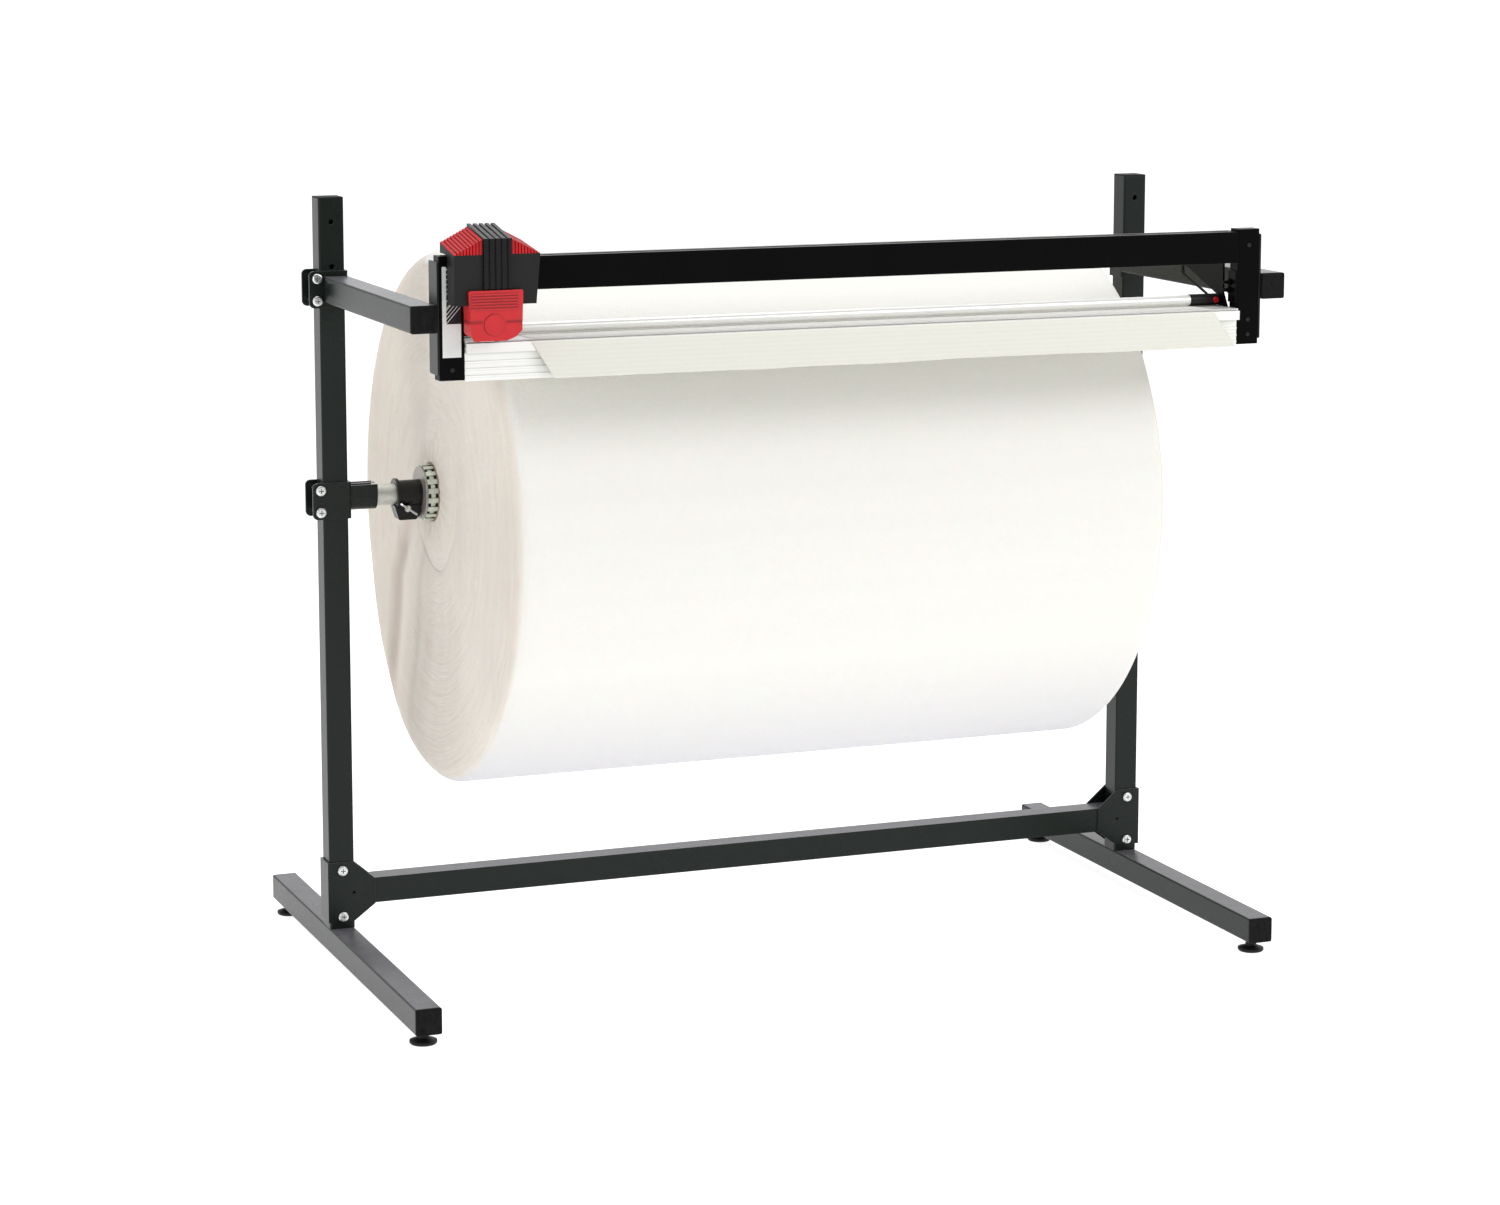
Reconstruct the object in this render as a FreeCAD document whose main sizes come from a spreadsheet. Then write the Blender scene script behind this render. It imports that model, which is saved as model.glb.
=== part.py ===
"""Roll stand with a sliding rotary cutter for soft wrapping film.

Frame: X to the operator's right, Y away from the operator, Z up, millimetres.
The origin lies on the floor, under the middle of the whole stand.
"""
import FreeCAD, Part
import math
import os
import Sketcher

DRIVING_SIZES = {
    # stand
    "rollRoom": 143.0, "uprightHeight": 1208.0, "tubeSize": 40.0, "tubeWall": 2.5,
    "tubeCorner": 3.0, "footClearance": 20.0, "footFront": 490.0, "footBack": 343.0,
    "capPlate": 5.0, "capRound": 2.5, "capInsert": 14.0, "capFit": 0.2, "topCapPlate": 2.0,
    "crossbarBottom": 97.0, "gussetSheet": 3.0, "gussetTop": 167.0, "gussetBottom": 71.0,
    "gussetShoulder": 18.0, "gussetReach": 53.0, "sheetFit": 0.2, "tackHole": 2.75,
    "baseBoltLow": 80.0, "baseBoltHigh": 154.0, "spareHoleDrop": 36.0, "spareHolePitch": 69.0,
    # fasteners
    "boltRadius": 4.0, "boltHole": 4.25, "headRadius": 8.2, "headHeight": 5.0, "nutRadius": 7.4,
    "nutHeight": 6.5, "endOfThread": 3.0, "headCrown": 2.75, "crossLength": 7.6,
    "crossWidth": 1.5, "crossDepth": 2.4,
    # levelling feet
    "padRadius": 20.5, "padRim": 5.0, "padShoulder": 9.0, "padNeck": 9.0, "studLength": 34.0,
    "padInset": 28.0, "threadFit": 0.25,
    # clamps round the uprights
    "clampSheet": 4.0, "clampHeight": 57.0, "clampOuter": 37.0, "clampBoltPitch": 34.0,
    "clampRound": 8.0, "clampSlot": 5.0, "boltGap": 0.75,
    # arms
    "armAxis": 1069.0, "armReach": 495.0, "armInset": 5.0,
    # shaft, chucks and roll
    "shaftAxis": 743.0, "shaftRadius": 16.5, "shaftWall": 2.6, "shaftEndGap": 1.5,
    "cradleFit": 0.3, "cradleSheet": 4.0, "cradleLength": 43.0, "cradleRise": 20.0, "cradleLift": 2.0,
    "chuckFit": 0.3, "sleeveRadius": 21.0, "sleeveLength": 41.0, "sleeveRim": 24.5,
    "sleeveRimLength": 5.0, "chuckProud": 3.0, "flangeRadius": 41.0, "flangeSheet": 3.0,
    "ringRadius": 37.0, "ringToothHeight": 6.5, "ringLength": 16.0, "ringTeeth": 18.0,
    "ringBand": 41.5, "ringNotch": 4.5, "toothShare": 0.62,
    "hubLength": 34.0, "coreBore": 38.4, "coreWall": 6.6, "lugOver": 3.0, "lugSlant": 7.0,
    "lugGap": 2.5, "lugDepth": 26.0, "lugTop": 17.0, "lugShoulder": 33.0, "lugReach": 40.0, "lugSlit": 2.0,
    "screwRadius": 3.0, "screwDrop": 22.0, "screwInset": 17.5, "wingSpan": 16.5, "wingSheet": 3.0,
    "wingHeight": 13.0, "wingTurn": 35.0,
    "rollRadius": 417.0, "rollWidth": 1088.0, "rollOffset": 12.0, "rollSag": 40.0, "rollEdge": 30.0,
    "rollShoulder": 60.0, "wrapSheet": 6.0, "wrapLap": 6.0, "filmThickness": 1.0, "filmGap": 0.3,
    "filmSlant": 46.0, "filmFold": 0.5, "filmLeave": 43.0, "filmFall": 60.0, "filmRise": 55.0,
    # cutter frame
    "sideSheet": 3.0, "bracketWidth": 37.0, "bracketDepth": 25.0, "bracketHalf": 89.0,
    "bracketWall": 4.0, "sideHalf": 81.0, "sideDepth": 40.0, "joinFit": 0.3, "padHeight": 49.0,
    "padThickness": 3.0, "mountBoltPitch": 12.0, "mountBoltRadius": 3.0, "mountHead": 5.4,
    "studReach": 12.0,
    "beamRise": 37.0, "beamHeight": 48.0, "beamDepth": 36.0, "beamWall": 3.0,
    "grooveMouth": 8.0, "grooveWidth": 16.0, "grooveLip": 2.5, "grooveDepth": 9.0,
    "deckDrop": 33.0, "lipDrop": 3.0, "lipHeight": 14.0, "faceHeight": 41.0, "lipProud": 9.0,
    "faceInset": 1.0, "railDepth": 70.0, "railWall": 3.0,
    "deckThickness": 12.0, "ribProud": 1.0, "ribHeight": 3.0, "railRibs": 4.0, "cutProud": 5.0,
    "slotWidth": 3.0, "slotDepth": 8.0, "stripHeight": 1.5, "screwHead": 3.2,
    "screwProud": 1.2, "screwLow": 15.0, "screwMiddle": 38.0, "screwHigh": 153.0,
    "platePanel": 0.5, "plateWidth": 28.0, "plateDrop": 56.0,
    "plateHeight": 130.0,
    # hold-down bar and its guides
    "barRadius": 8.0, "barShort": 50.0, "barInset": 53.0, "barLift": 1.6, "barSleeve": 9.0,
    "barSleeveLength": 48.0, "pinRadius": 6.0, "pinFit": 0.4, "guideInset": 6.0,
    "guideSheet": 3.0, "guideRim": 5.0, "slotAngle": 19.0, "slotTravel": 116.0,
    "guideRise": 71.0, "guideToe": 29.6, "guideHeel": 17.0, "guideStep": 18.0,
    "tabWidth": 17.0, "buttonRadius": 4.5, "buttonProud": 3.0,
    "buttonSeat": 1.5, "buttonInset": 6.3,
    # sliding head
    "headParking": 39.0, "headHalf": 64.0, "headProud": 35.0, "headGap": 2.0,
    "headLift": 21.0, "eaveOver": 3.5, "ridgeOver": 21.5, "headRise": 13.0,
    "headDepth": 78.0, "headBackHalf": 61.0, "bandHalf": 22.0, "bandBackHalf": 20.0,
    "headTaper": 6.0, "ribCount": 5.0, "ribPitch": 9.0, "ribWide": 5.6, "bandBase": 1.5,
    "bandRib": 4.0, "bandLift": 22.5, "overGap": 1.5, "runnerLength": 70.0, "runFit": 0.3,
    "gripRidges": 9.0, "gripGroove": 1.6, "gripDepth": 1.2,
    "bladeOffset": 7.0, "bladeLift": 26.0, "bladeRadius": 30.0, "bladeSheet": 1.0,
    "axleRadius": 5.0, "axleFit": 0.05, "hubRadius": 9.0, "guardProud": 6.0,
    "guardWall": 3.0, "guardLap": 21.0, "guardClear": 3.0, "guardHalf": 43.5, "guardShort": 35.0,
    "guardFlare": 2.5,
    "guardSlope": 6.0, "bossRadius": 15.0,
    "bossProud": 1.5, "guardRibs": 6.0, "guardRibPitch": 4.2,
}

DOC = FreeCAD.newDocument("WrapCutter")
SHEET = DOC.addObject("Spreadsheet::Sheet", "Sizes")
X_AXIS = FreeCAD.Vector(1, 0, 0)
Y_AXIS = FreeCAD.Vector(0, 1, 0)
Z_AXIS = FreeCAD.Vector(0, 0, 1)
LEFT = -1
RIGHT = 1
SIDES = (("left", LEFT), ("right", RIGHT))
SUB_PARTS = []


class Size:
    """A length with its formula in the sheet and its present value."""

    def __init__(self, text, number):
        self.text = text
        self.number = number

    def __add__(self, other):
        return Size("(%s + %s)" % (self.text, as_size(other).text), self.number + as_size(other).number)

    def __radd__(self, other):
        return as_size(other) + self

    def __sub__(self, other):
        return Size("(%s - %s)" % (self.text, as_size(other).text), self.number - as_size(other).number)

    def __rsub__(self, other):
        return as_size(other) - self

    def __mul__(self, other):
        return Size("(%s * %s)" % (self.text, as_size(other).text), self.number * as_size(other).number)

    def __rmul__(self, other):
        return as_size(other) * self

    def __truediv__(self, other):
        return Size("(%s / %s)" % (self.text, as_size(other).text), self.number / as_size(other).number)

    def __neg__(self):
        return Size("(0 - %s)" % self.text, -self.number)


def as_size(value):
    if isinstance(value, Size):
        return value
    return Size(repr(float(value)), float(value))


def fill_sheet():
    """Write one named cell for each driving size."""
    for row, (alias, number) in enumerate(DRIVING_SIZES.items(), start=1):
        SHEET.set("A%d" % row, alias)
        SHEET.set("B%d" % row, str(number))
        SHEET.setAlias("B%d" % row, alias)
    DOC.recompute()


class Sizes:
    """The sheet's cells by name."""

    def __getattr__(self, alias):
        return Size("<<Sizes>>." + alias, float(SHEET.get(alias)))


S = Sizes()


def bind(item, path, value):
    item.setExpression(path, as_size(value).text)


def place(item, base, axis=None, angle=0.0):
    """Put an item at bound coordinates, turned once about an axis."""
    turn = FreeCAD.Rotation(axis, angle) if axis else FreeCAD.Rotation()
    item.Placement = FreeCAD.Placement(FreeCAD.Vector(0, 0, 0), turn)
    for letter, value in zip("xyz", base):
        bind(item, "Placement.Base." + letter, value)


def keep(item, label):
    item.Label = label
    SUB_PARTS.append(item)
    return item


# ---- bodies made from sketches ------------------------------------------------------------

def new_body(label, base=(0, 0, 0), axis=None, angle=0.0):
    body = DOC.addObject("PartDesign::Body", label)
    place(body, base, axis, angle)
    return keep(body, label)


def origin_plane(body, role):
    return [item for item in body.Origin.OriginFeatures if item.Role == role][0]


def add_loop(sketch, points):
    """Closed outline of straight edges, every corner held by two bound distances."""
    first = sketch.GeometryCount
    count = len(points)
    corners = [FreeCAD.Vector(as_size(u).number, as_size(v).number, 0) for u, v in points]
    for index in range(count):
        sketch.addGeometry(Part.LineSegment(corners[index], corners[(index + 1) % count]), False)
    for index in range(count):
        following = first + (index + 1) % count
        sketch.addConstraint(Sketcher.Constraint("Coincident", first + index, 2, following, 1))
    for index, (u, v) in enumerate(points):
        hold(sketch, "DistanceX", first + index, 1, u)
        hold(sketch, "DistanceY", first + index, 1, v)


def hold(sketch, kind, geometry, vertex, value):
    number = as_size(value).number
    place_of = sketch.addConstraint(Sketcher.Constraint(kind, -1, 1, geometry, vertex, number))
    sketch.setExpression("Constraints[%d]" % place_of, as_size(value).text)


def add_circle(sketch, u, v, radius):
    centre = FreeCAD.Vector(as_size(u).number, as_size(v).number, 0)
    circle = Part.Circle(centre, Z_AXIS, as_size(radius).number)
    index = sketch.addGeometry(circle, False)
    hold(sketch, "DistanceX", index, 3, u)
    hold(sketch, "DistanceY", index, 3, v)
    place_of = sketch.addConstraint(Sketcher.Constraint("Radius", index, as_size(radius).number))
    sketch.setExpression("Constraints[%d]" % place_of, as_size(radius).text)


def draw(body, role, offset, loops=(), circles=(), spin=None):
    sketch = body.newObject("Sketcher::SketchObject", body.Name + "Sketch")
    sketch.AttachmentSupport = (origin_plane(body, role), "")
    sketch.MapMode = "FlatFace"
    bind(sketch, "AttachmentOffset.Base.z", offset)
    if spin is not None:
        start, turn = spin
        sketch.AttachmentOffset = FreeCAD.Placement(FreeCAD.Vector(), FreeCAD.Rotation(Z_AXIS, turn.number))
        bind(sketch, "AttachmentOffset.Base.x", start[0])
        bind(sketch, "AttachmentOffset.Base.y", start[1])
        bind(sketch, "AttachmentOffset.Rotation.Angle", turn)
    for loop in loops:
        add_loop(sketch, loop)
    for circle in circles:
        add_circle(sketch, *circle)
    sketch.Visibility = False
    return sketch


def ordered(low, high):
    low, high = as_size(low), as_size(high)
    return (low, high) if low.number < high.number else (high, low)


def pad(body, role, low, high, loops=(), circles=()):
    """Solid slab between two heights along the sketch plane's axis."""
    low, high = ordered(low, high)
    offset = -high if role == "XZ_Plane" else low
    feature = body.newObject("PartDesign::Pad", body.Name + "Pad")
    feature.Profile = draw(body, role, offset, loops, circles)
    bind(feature, "Length", high - low)
    DOC.recompute()
    return feature


def pocket(body, role, low, high, loops=(), circles=(), spin=None):
    """Cut between two heights; the solid has to lose volume."""
    low, high = ordered(low, high)
    before = body.Shape.Volume
    offset = -low if role == "XZ_Plane" else high
    feature = body.newObject("PartDesign::Pocket", body.Name + "Pocket")
    feature.Profile = draw(body, role, offset, loops, circles, spin)
    bind(feature, "Length", high - low)
    DOC.recompute()
    if body.Shape.Volume >= before:
        raise RuntimeError("pocket without effect in " + body.Label)
    return feature


def soften(body, radius, wanted, kind="PartDesign::Fillet"):
    """Round or bevel the edges that a test picks."""
    names = ["Edge%d" % (index + 1) for index, edge in enumerate(body.Tip.Shape.Edges) if wanted(edge)]
    if not names:
        raise RuntimeError("no edge to soften in " + body.Label)
    before = body.Tip
    feature = body.newObject(kind, body.Name + "Soft")
    feature.Base = (before, names)
    bind(feature, "Radius" if kind.endswith("Fillet") else "Size", radius)
    body.Tip = feature
    DOC.recompute()
    return feature


def along(edge, axis):
    """True for a straight edge parallel to an axis."""
    if not isinstance(edge.Curve, Part.Line):
        return False
    return abs(edge.tangentAt(edge.FirstParameter).dot(axis)) > 0.999


def box_loop(u_low, u_high, v_low, v_high):
    return [(u_low, v_low), (u_high, v_low), (u_high, v_high), (u_low, v_high)]


def square(half):
    return box_loop(-half, half, -half, half)


def revolved(label, profile, base, axis=None, angle=0.0):
    """Turned piece: (radius, height) corners spun about the body's own Z."""
    body = new_body(label, base, axis, angle)
    feature = body.newObject("PartDesign::Revolution", body.Name + "Turn")
    sketch = draw(body, "XZ_Plane", 0, [profile])
    feature.Profile = sketch
    feature.ReferenceAxis = (sketch, ["V_Axis"])
    feature.Angle = 360.0
    DOC.recompute()
    return body


def group(label, solids):
    """One sub-part made of several equal solids."""
    item = DOC.addObject("Part::Compound", label)
    item.Links = solids
    return keep(item, label)


def cylinder(name, radius, length, base, axis=None, angle=0.0):
    item = DOC.addObject("Part::Cylinder", name)
    bind(item, "Radius", radius)
    bind(item, "Height", length)
    place(item, base, axis, angle)
    return item


def joined(name, pieces):
    item = DOC.addObject("Part::MultiFuse", name)
    item.Shapes = pieces
    return item


def minus(name, base, tool):
    item = DOC.addObject("Part::Cut", name)
    item.Base = base
    item.Tool = tool
    return item


def hexagon(name, radius, height, base, axis=None, angle=0.0):
    item = DOC.addObject("Part::Prism", name)
    item.Polygon = 6
    bind(item, "Circumradius", radius)
    bind(item, "Height", height)
    place(item, base, axis, angle)
    return item


# ---- places shared by the pieces ----------------------------------------------------------

def layout():
    """Derived places, worked out once from the sheet."""
    S.half = S.tubeSize / 2
    S.upright_x = S.rollWidth / 2 + S.rollRoom
    S.inner_face = S.upright_x - S.half
    S.foot_top = S.footClearance + S.tubeSize
    S.clamp_bolt = S.half + S.boltRadius + S.boltGap
    S.arm_x = S.upright_x - S.armInset
    S.arm_face = S.arm_x - S.half
    S.roll_axis = S.shaftAxis - S.rollSag
    S.cradle_axis = S.shaftAxis - S.cradleLift
    S.flange_place = S.rollWidth / 2 + S.chuckProud
    S.sleeve_start = S.flange_place + S.sleeveLength
    lay_out_widths()
    lay_out_depths()
    lay_out_heights()


def lay_out_widths():
    """Places across the cutter, from the arms' inner faces."""
    S.bracket_outer = S.arm_face - S.sideSheet
    S.bracket_inner = S.bracket_outer - S.bracketWidth
    S.guide_place = S.bracket_inner - S.guideInset
    S.bar_half = S.guide_place - S.barShort
    S.head_place = S.bracket_inner - S.headParking
    S.blade_x = -(S.head_place + S.bladeOffset)


def lay_out_depths():
    """Distances in front of the uprights' axis, from the reach of the arms."""
    S.lip_front = S.armReach + S.lipProud
    S.face_front = S.armReach - S.faceInset
    S.rail_back = S.armReach - S.railDepth
    S.cut_plane = S.armReach + S.cutProud
    S.bar_behind = S.armReach - S.barInset
    S.head_front = S.armReach + S.headProud
    S.head_back = S.head_front - S.headDepth
    S.guard_front = S.head_front + S.guardProud
    S.upright_y = (S.guard_front + S.bossProud - S.rollRadius) / 2
    S.front = S.upright_y - S.armReach
    S.cut_y = S.upright_y - S.cut_plane
    S.beam_y = S.front + S.beamDepth / 2
    S.bar_y = S.upright_y - S.bar_behind


def lay_out_heights():
    """Heights of the cutter, from the axis of the arms that carry it."""
    S.bracket_top = S.armAxis + S.bracketHalf
    S.bracket_bottom = S.armAxis - S.bracketHalf
    S.beam_bottom = S.armAxis + S.beamRise
    S.beam_top = S.beam_bottom + S.beamHeight
    S.deck_top = S.armAxis - S.deckDrop
    S.lip_top = S.deck_top - S.lipDrop
    S.lip_bottom = S.lip_top - S.lipHeight
    S.rail_bottom = S.lip_bottom - S.faceHeight
    S.bar_z = S.deck_top + S.barLift + S.barRadius
    S.guide_top = S.armAxis + S.guideRise
    S.head_bottom = S.armAxis + S.headLift
    S.head_eave = S.bracket_top + S.eaveOver
    S.head_ridge = S.head_eave + S.ridgeOver
    S.band_bottom = S.head_bottom + S.bandLift
    S.blade_axis = S.deck_top + S.bladeLift
    S.guard_top = S.head_bottom + S.guardLap
    S.guard_bottom = S.deck_top + S.guardClear


# ---- stand --------------------------------------------------------------------------------

def square_tube(label, low, high, base, axis=None, angle=0.0):
    """Square tube along the body's own Z with rounded corners."""
    body = new_body(label, base, axis, angle)
    pad(body, "XY_Plane", low, high, [square(S.half)])
    soften(body, S.tubeCorner, lambda edge: along(edge, Z_AXIS))
    pocket(body, "XY_Plane", low, high, [square(S.half - S.tubeWall)])
    return body


def upright(name, side):
    """Upright welded on its foot, drilled front to back."""
    body = square_tube(name + "_upright", S.foot_top, S.uprightHeight, (side * S.upright_x, S.upright_y, 0))
    top_hole = S.uprightHeight - S.spareHoleDrop
    heights = (S.baseBoltLow, S.baseBoltHigh, top_hole, top_hole - S.spareHolePitch)
    pocket(body, "XZ_Plane", -S.half, S.half, circles=[(0, height, S.boltHole) for height in heights])
    return body


def foot_rail(name, side):
    """Foot tube running front to back, tapped under both ends for the levelling feet."""
    body = square_tube(name + "_foot_rail", -S.footBack, S.footFront,
                       (side * S.upright_x, S.upright_y, S.footClearance + S.half), X_AXIS, 90)
    stud = S.boltRadius + S.threadFit
    ends = (S.footFront - S.padInset, -(S.footBack - S.padInset))
    circles = [(0, end, stud) for end in ends]
    pocket(body, "XZ_Plane", -S.half, -(S.half - S.tubeWall), circles=circles)
    return body


def end_cap(name, plate, rounding, base, axis=None, angle=0.0):
    """Pushed-in tube plug: rounded plate outside, ribbed skirt inside."""
    body = DOC.addObject("PartDesign::Body", name)
    place(body, base, axis, angle)
    pad(body, "XY_Plane", 0, plate, [square(S.half)])
    soften(body, S.tubeCorner, lambda edge: along(edge, Z_AXIS))
    soften(body, rounding, lambda edge: edge.BoundBox.ZMin > plate.number - 0.01)
    skirt = S.half - S.tubeWall - S.capFit
    pad(body, "XY_Plane", -S.capInsert, 0, [square(skirt)])
    pocket(body, "XY_Plane", -S.capInsert, -S.tubeWall, [square(skirt - S.tubeWall)])
    return body


def end_caps():
    """Eight equal plugs: feet at both ends, arms at the front, uprights on top."""
    caps = []
    foot_z = S.footClearance + S.half
    for name, side in SIDES:
        x = side * S.upright_x
        places = (("Front", (x, S.upright_y - S.footFront, foot_z), 90),
                  ("Back", (x, S.upright_y + S.footBack, foot_z), -90),
                  ("Arm", (side * S.arm_x, S.upright_y - S.armReach, S.armAxis), 90))
        for end, base, turn in places:
            caps.append(end_cap(name + "Cap" + end, S.capPlate, S.capRound, base, X_AXIS, turn))
        top = (x, S.upright_y, S.uprightHeight)
        caps.append(end_cap(name + "CapTop", S.topCapPlate, S.topCapPlate / 2, top))
    return group("tube_end_caps", caps)


def levelling_foot(name, side, y):
    """Turned pad with a tapered neck and its threaded stud."""
    stud = S.boltRadius
    seat = S.footClearance - S.joinFit
    bevel = S.padRim / 3
    profile = [(0, 0), (S.padRadius - bevel, 0), (S.padRadius, bevel), (S.padRadius, S.padRim),
               (S.padNeck, S.padShoulder), (S.padNeck - bevel, seat), (stud, seat), (stud, S.studLength),
               (0, S.studLength)]
    return revolved(name, profile, (side * S.upright_x, y, 0))


def gusset(body, side):
    """Fork of two shaped plates and an outer web that wraps round the upright's foot."""
    outer = -(S.half + S.sheetFit + S.gussetSheet)
    width = S.half + S.sheetFit + S.gussetSheet
    centre = side * S.upright_x
    inward = -side
    bar_top = S.crossbarBottom + S.tubeSize
    rows = [(outer, S.gussetBottom), (S.gussetShoulder, S.gussetBottom), (S.gussetReach, S.crossbarBottom),
            (S.gussetReach, bar_top), (S.gussetShoulder, S.gussetTop), (outer, S.gussetTop)]
    outline = [(centre + inward * u, v) for u, v in rows]
    pad(body, "XZ_Plane", -width, width, [outline])


def crossbar():
    """Cross tube with a bolted fork at each end."""
    body = new_body("crossbar", (0, S.upright_y, 0))
    bar_top = S.crossbarBottom + S.tubeSize
    reach = S.upright_x - S.gussetShoulder
    pad(body, "YZ_Plane", -reach, reach, [box_loop(-S.half, S.half, S.crossbarBottom, bar_top)])
    for name, side in SIDES:
        gusset(body, side)
    slot = S.half + S.sheetFit
    for name, side in SIDES:
        near = side * (S.upright_x - slot)
        far = side * (S.upright_x + slot)
        pocket(body, "YZ_Plane", near, far, [box_loop(-slot, slot, S.gussetBottom, S.gussetTop)])
        inside = side * (S.upright_x - S.gussetReach - 1)
        gap = [box_loop(-S.half, S.half, bar_top, S.gussetTop),
               box_loop(-S.half, S.half, S.gussetBottom, S.crossbarBottom)]
        pocket(body, "YZ_Plane", inside, near, gap)
    wall = S.half - S.tubeWall
    hollow = box_loop(-wall, wall, S.crossbarBottom + S.tubeWall, bar_top - S.tubeWall)
    pocket(body, "YZ_Plane", -S.upright_x + S.half, S.upright_x - S.half, [hollow])
    heights = (S.baseBoltLow, S.baseBoltHigh)
    holes = [(side * S.upright_x, z, S.boltHole) for name, side in SIDES for z in heights]
    plate = slot + S.gussetSheet
    pocket(body, "XZ_Plane", -plate, plate, circles=holes)
    tack_z = S.crossbarBottom + S.half
    tacks = [(side * (S.upright_x - S.gussetShoulder), tack_z, S.tackHole) for name, side in SIDES]
    pocket(body, "XZ_Plane", -plate, -slot, circles=tacks)
    return body


def bolt(name, x, z, front, length):
    """Pan-head screw lying front to back, its head in front."""
    head = cylinder(name + "Head", S.headRadius, S.headHeight, (x, front, z), X_AXIS, 90)
    dome = DOC.addObject("Part::Fillet", name + "Dome")
    dome.Base = head
    DOC.recompute()
    rounding = S.headCrown.number
    face = (front - S.headHeight + S.sheetFit).number
    far = [index + 1 for index, edge in enumerate(head.Shape.Edges) if edge.BoundBox.YMax < face]
    dome.Edges = [(index, rounding, rounding) for index in far]
    shank = cylinder(name + "Shank", S.boltRadius, length, (x, front, z), X_AXIS, -90)
    return minus(name, joined(name + "Blank", [dome, shank]), cross_recess(name, x, front, z))


def cross_recess(name, x, front, z):
    """Cross for the driver, sunk in the head of a screw."""
    face = front - S.headHeight
    bars = []
    for key, wide, high in (("Flat", S.crossLength, S.crossWidth), ("Tall", S.crossWidth, S.crossLength)):
        bar = DOC.addObject("Part::Box", name + "Cross" + key)
        bind(bar, "Length", wide)
        bind(bar, "Width", S.crossDepth * 2)
        bind(bar, "Height", high)
        place(bar, (x - wide / 2, face - S.crossDepth, z - high / 2))
        bars.append(bar)
    return joined(name + "Cross", bars)


def nut(name, x, z, seat):
    body = hexagon(name + "Hex", S.nutRadius, S.nutHeight, (x, seat, z), X_AXIS, -90)
    bore = cylinder(name + "Bore", S.boltRadius + S.threadFit / 5, S.nutHeight * 3,
                    (x, seat - S.nutHeight, z), X_AXIS, -90)
    return minus(name, body, bore)


def fasteners(kind, places, thickness):
    """Bolts from the front and nuts on the back of the same stack."""
    front = S.upright_y - thickness
    length = thickness * 2 + S.nutHeight + S.endOfThread
    bolts = [bolt("%sBolt%d" % (kind, index), x, z, front, length)
             for index, (x, z) in enumerate(places)]
    back = S.upright_y + thickness
    nuts = [nut("%sNut%d" % (kind, index), x, z, back) for index, (x, z) in enumerate(places)]
    group(kind + "_bolts", bolts)
    group(kind + "_nuts", nuts)


def clamp_places(z):
    return [(side * (S.upright_x + S.clamp_bolt), z + step * S.clampBoltPitch / 2)
            for name, side in SIDES for step in (-1, 1)]


# ---- clamps, arms and cradles -------------------------------------------------------------

def clamp(body, side):
    """U of bent sheet round the upright, open outwards, centred on the body's origin."""
    inner = S.half + S.sheetFit
    web = inner + S.clampSheet
    rise = S.clampHeight / 2
    pad(body, "XZ_Plane", -web, web, [box_loop(side * S.clampOuter, -side * web, -rise, rise)])
    soften(body, S.clampSheet, lambda edge: along(edge, Z_AXIS) and edge.BoundBox.Center.x * side < 0)
    soften(body, S.clampRound, lambda edge: along(edge, Y_AXIS) and edge.BoundBox.Center.x * side > 0)
    pocket(body, "XY_Plane", -rise, rise, [box_loop(-side * inner, side * (S.clampOuter + 1), -inner, inner)])
    drill = side * S.clamp_bolt
    holes = [(drill, step * S.clampBoltPitch / 2, S.boltHole) for step in (-1, 1)]
    pocket(body, "XZ_Plane", -web, web, circles=holes)
    for step in (-1, 1):
        middle = step * S.clampBoltPitch / 2
        slot = box_loop(drill, drill + side * S.clampSlot, middle - S.boltHole, middle + S.boltHole)
        pocket(body, "XZ_Plane", inner, web, [slot])


def arm_clamp(name, side):
    body = new_body(name + "_arm_clamp", (side * S.upright_x, S.upright_y, S.armAxis))
    clamp(body, side)
    return body


def arm(name, side):
    """Arm tube welded to the front of its clamp."""
    start = S.half + S.sheetFit + S.clampSheet
    base = (side * S.arm_x, S.upright_y, S.armAxis)
    body = square_tube(name + "_arm", start, S.armReach, base, X_AXIS, 90)
    inner = -side * S.half
    along_arm = S.armReach - S.sideDepth / 2
    drill = S.mountBoltRadius + S.threadFit
    circles = [(step * S.mountBoltPitch / 2, along_arm, drill) for step in (-1, 1)]
    pocket(body, "YZ_Plane", inner, inner + side * S.tubeWall, circles=circles)
    return body


def cradle(name, side):
    """Clamp with a U-shaped sheet saddle, open on top, for the shaft."""
    body = new_body(name + "_roll_cradle", (side * S.upright_x, S.upright_y, S.cradle_axis))
    clamp(body, side)
    web = S.half + S.sheetFit + S.clampSheet
    near = -side * web
    far = -side * (web + S.cradleLength)
    lift = S.cradleLift
    inside = S.shaftRadius + S.cradleFit
    outside = inside + S.cradleSheet
    top = lift + S.cradleRise
    pad(body, "YZ_Plane", near, far, circles=[(0, lift, outside)])
    pad(body, "YZ_Plane", near, far, [box_loop(-outside, outside, lift, top)])
    start = near - side * S.joinFit
    pocket(body, "YZ_Plane", start, far, circles=[(0, lift, inside)])
    pocket(body, "YZ_Plane", start, far, [box_loop(-inside, inside, lift, top)])
    return body


# ---- shaft, chucks and roll ---------------------------------------------------------------

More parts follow.
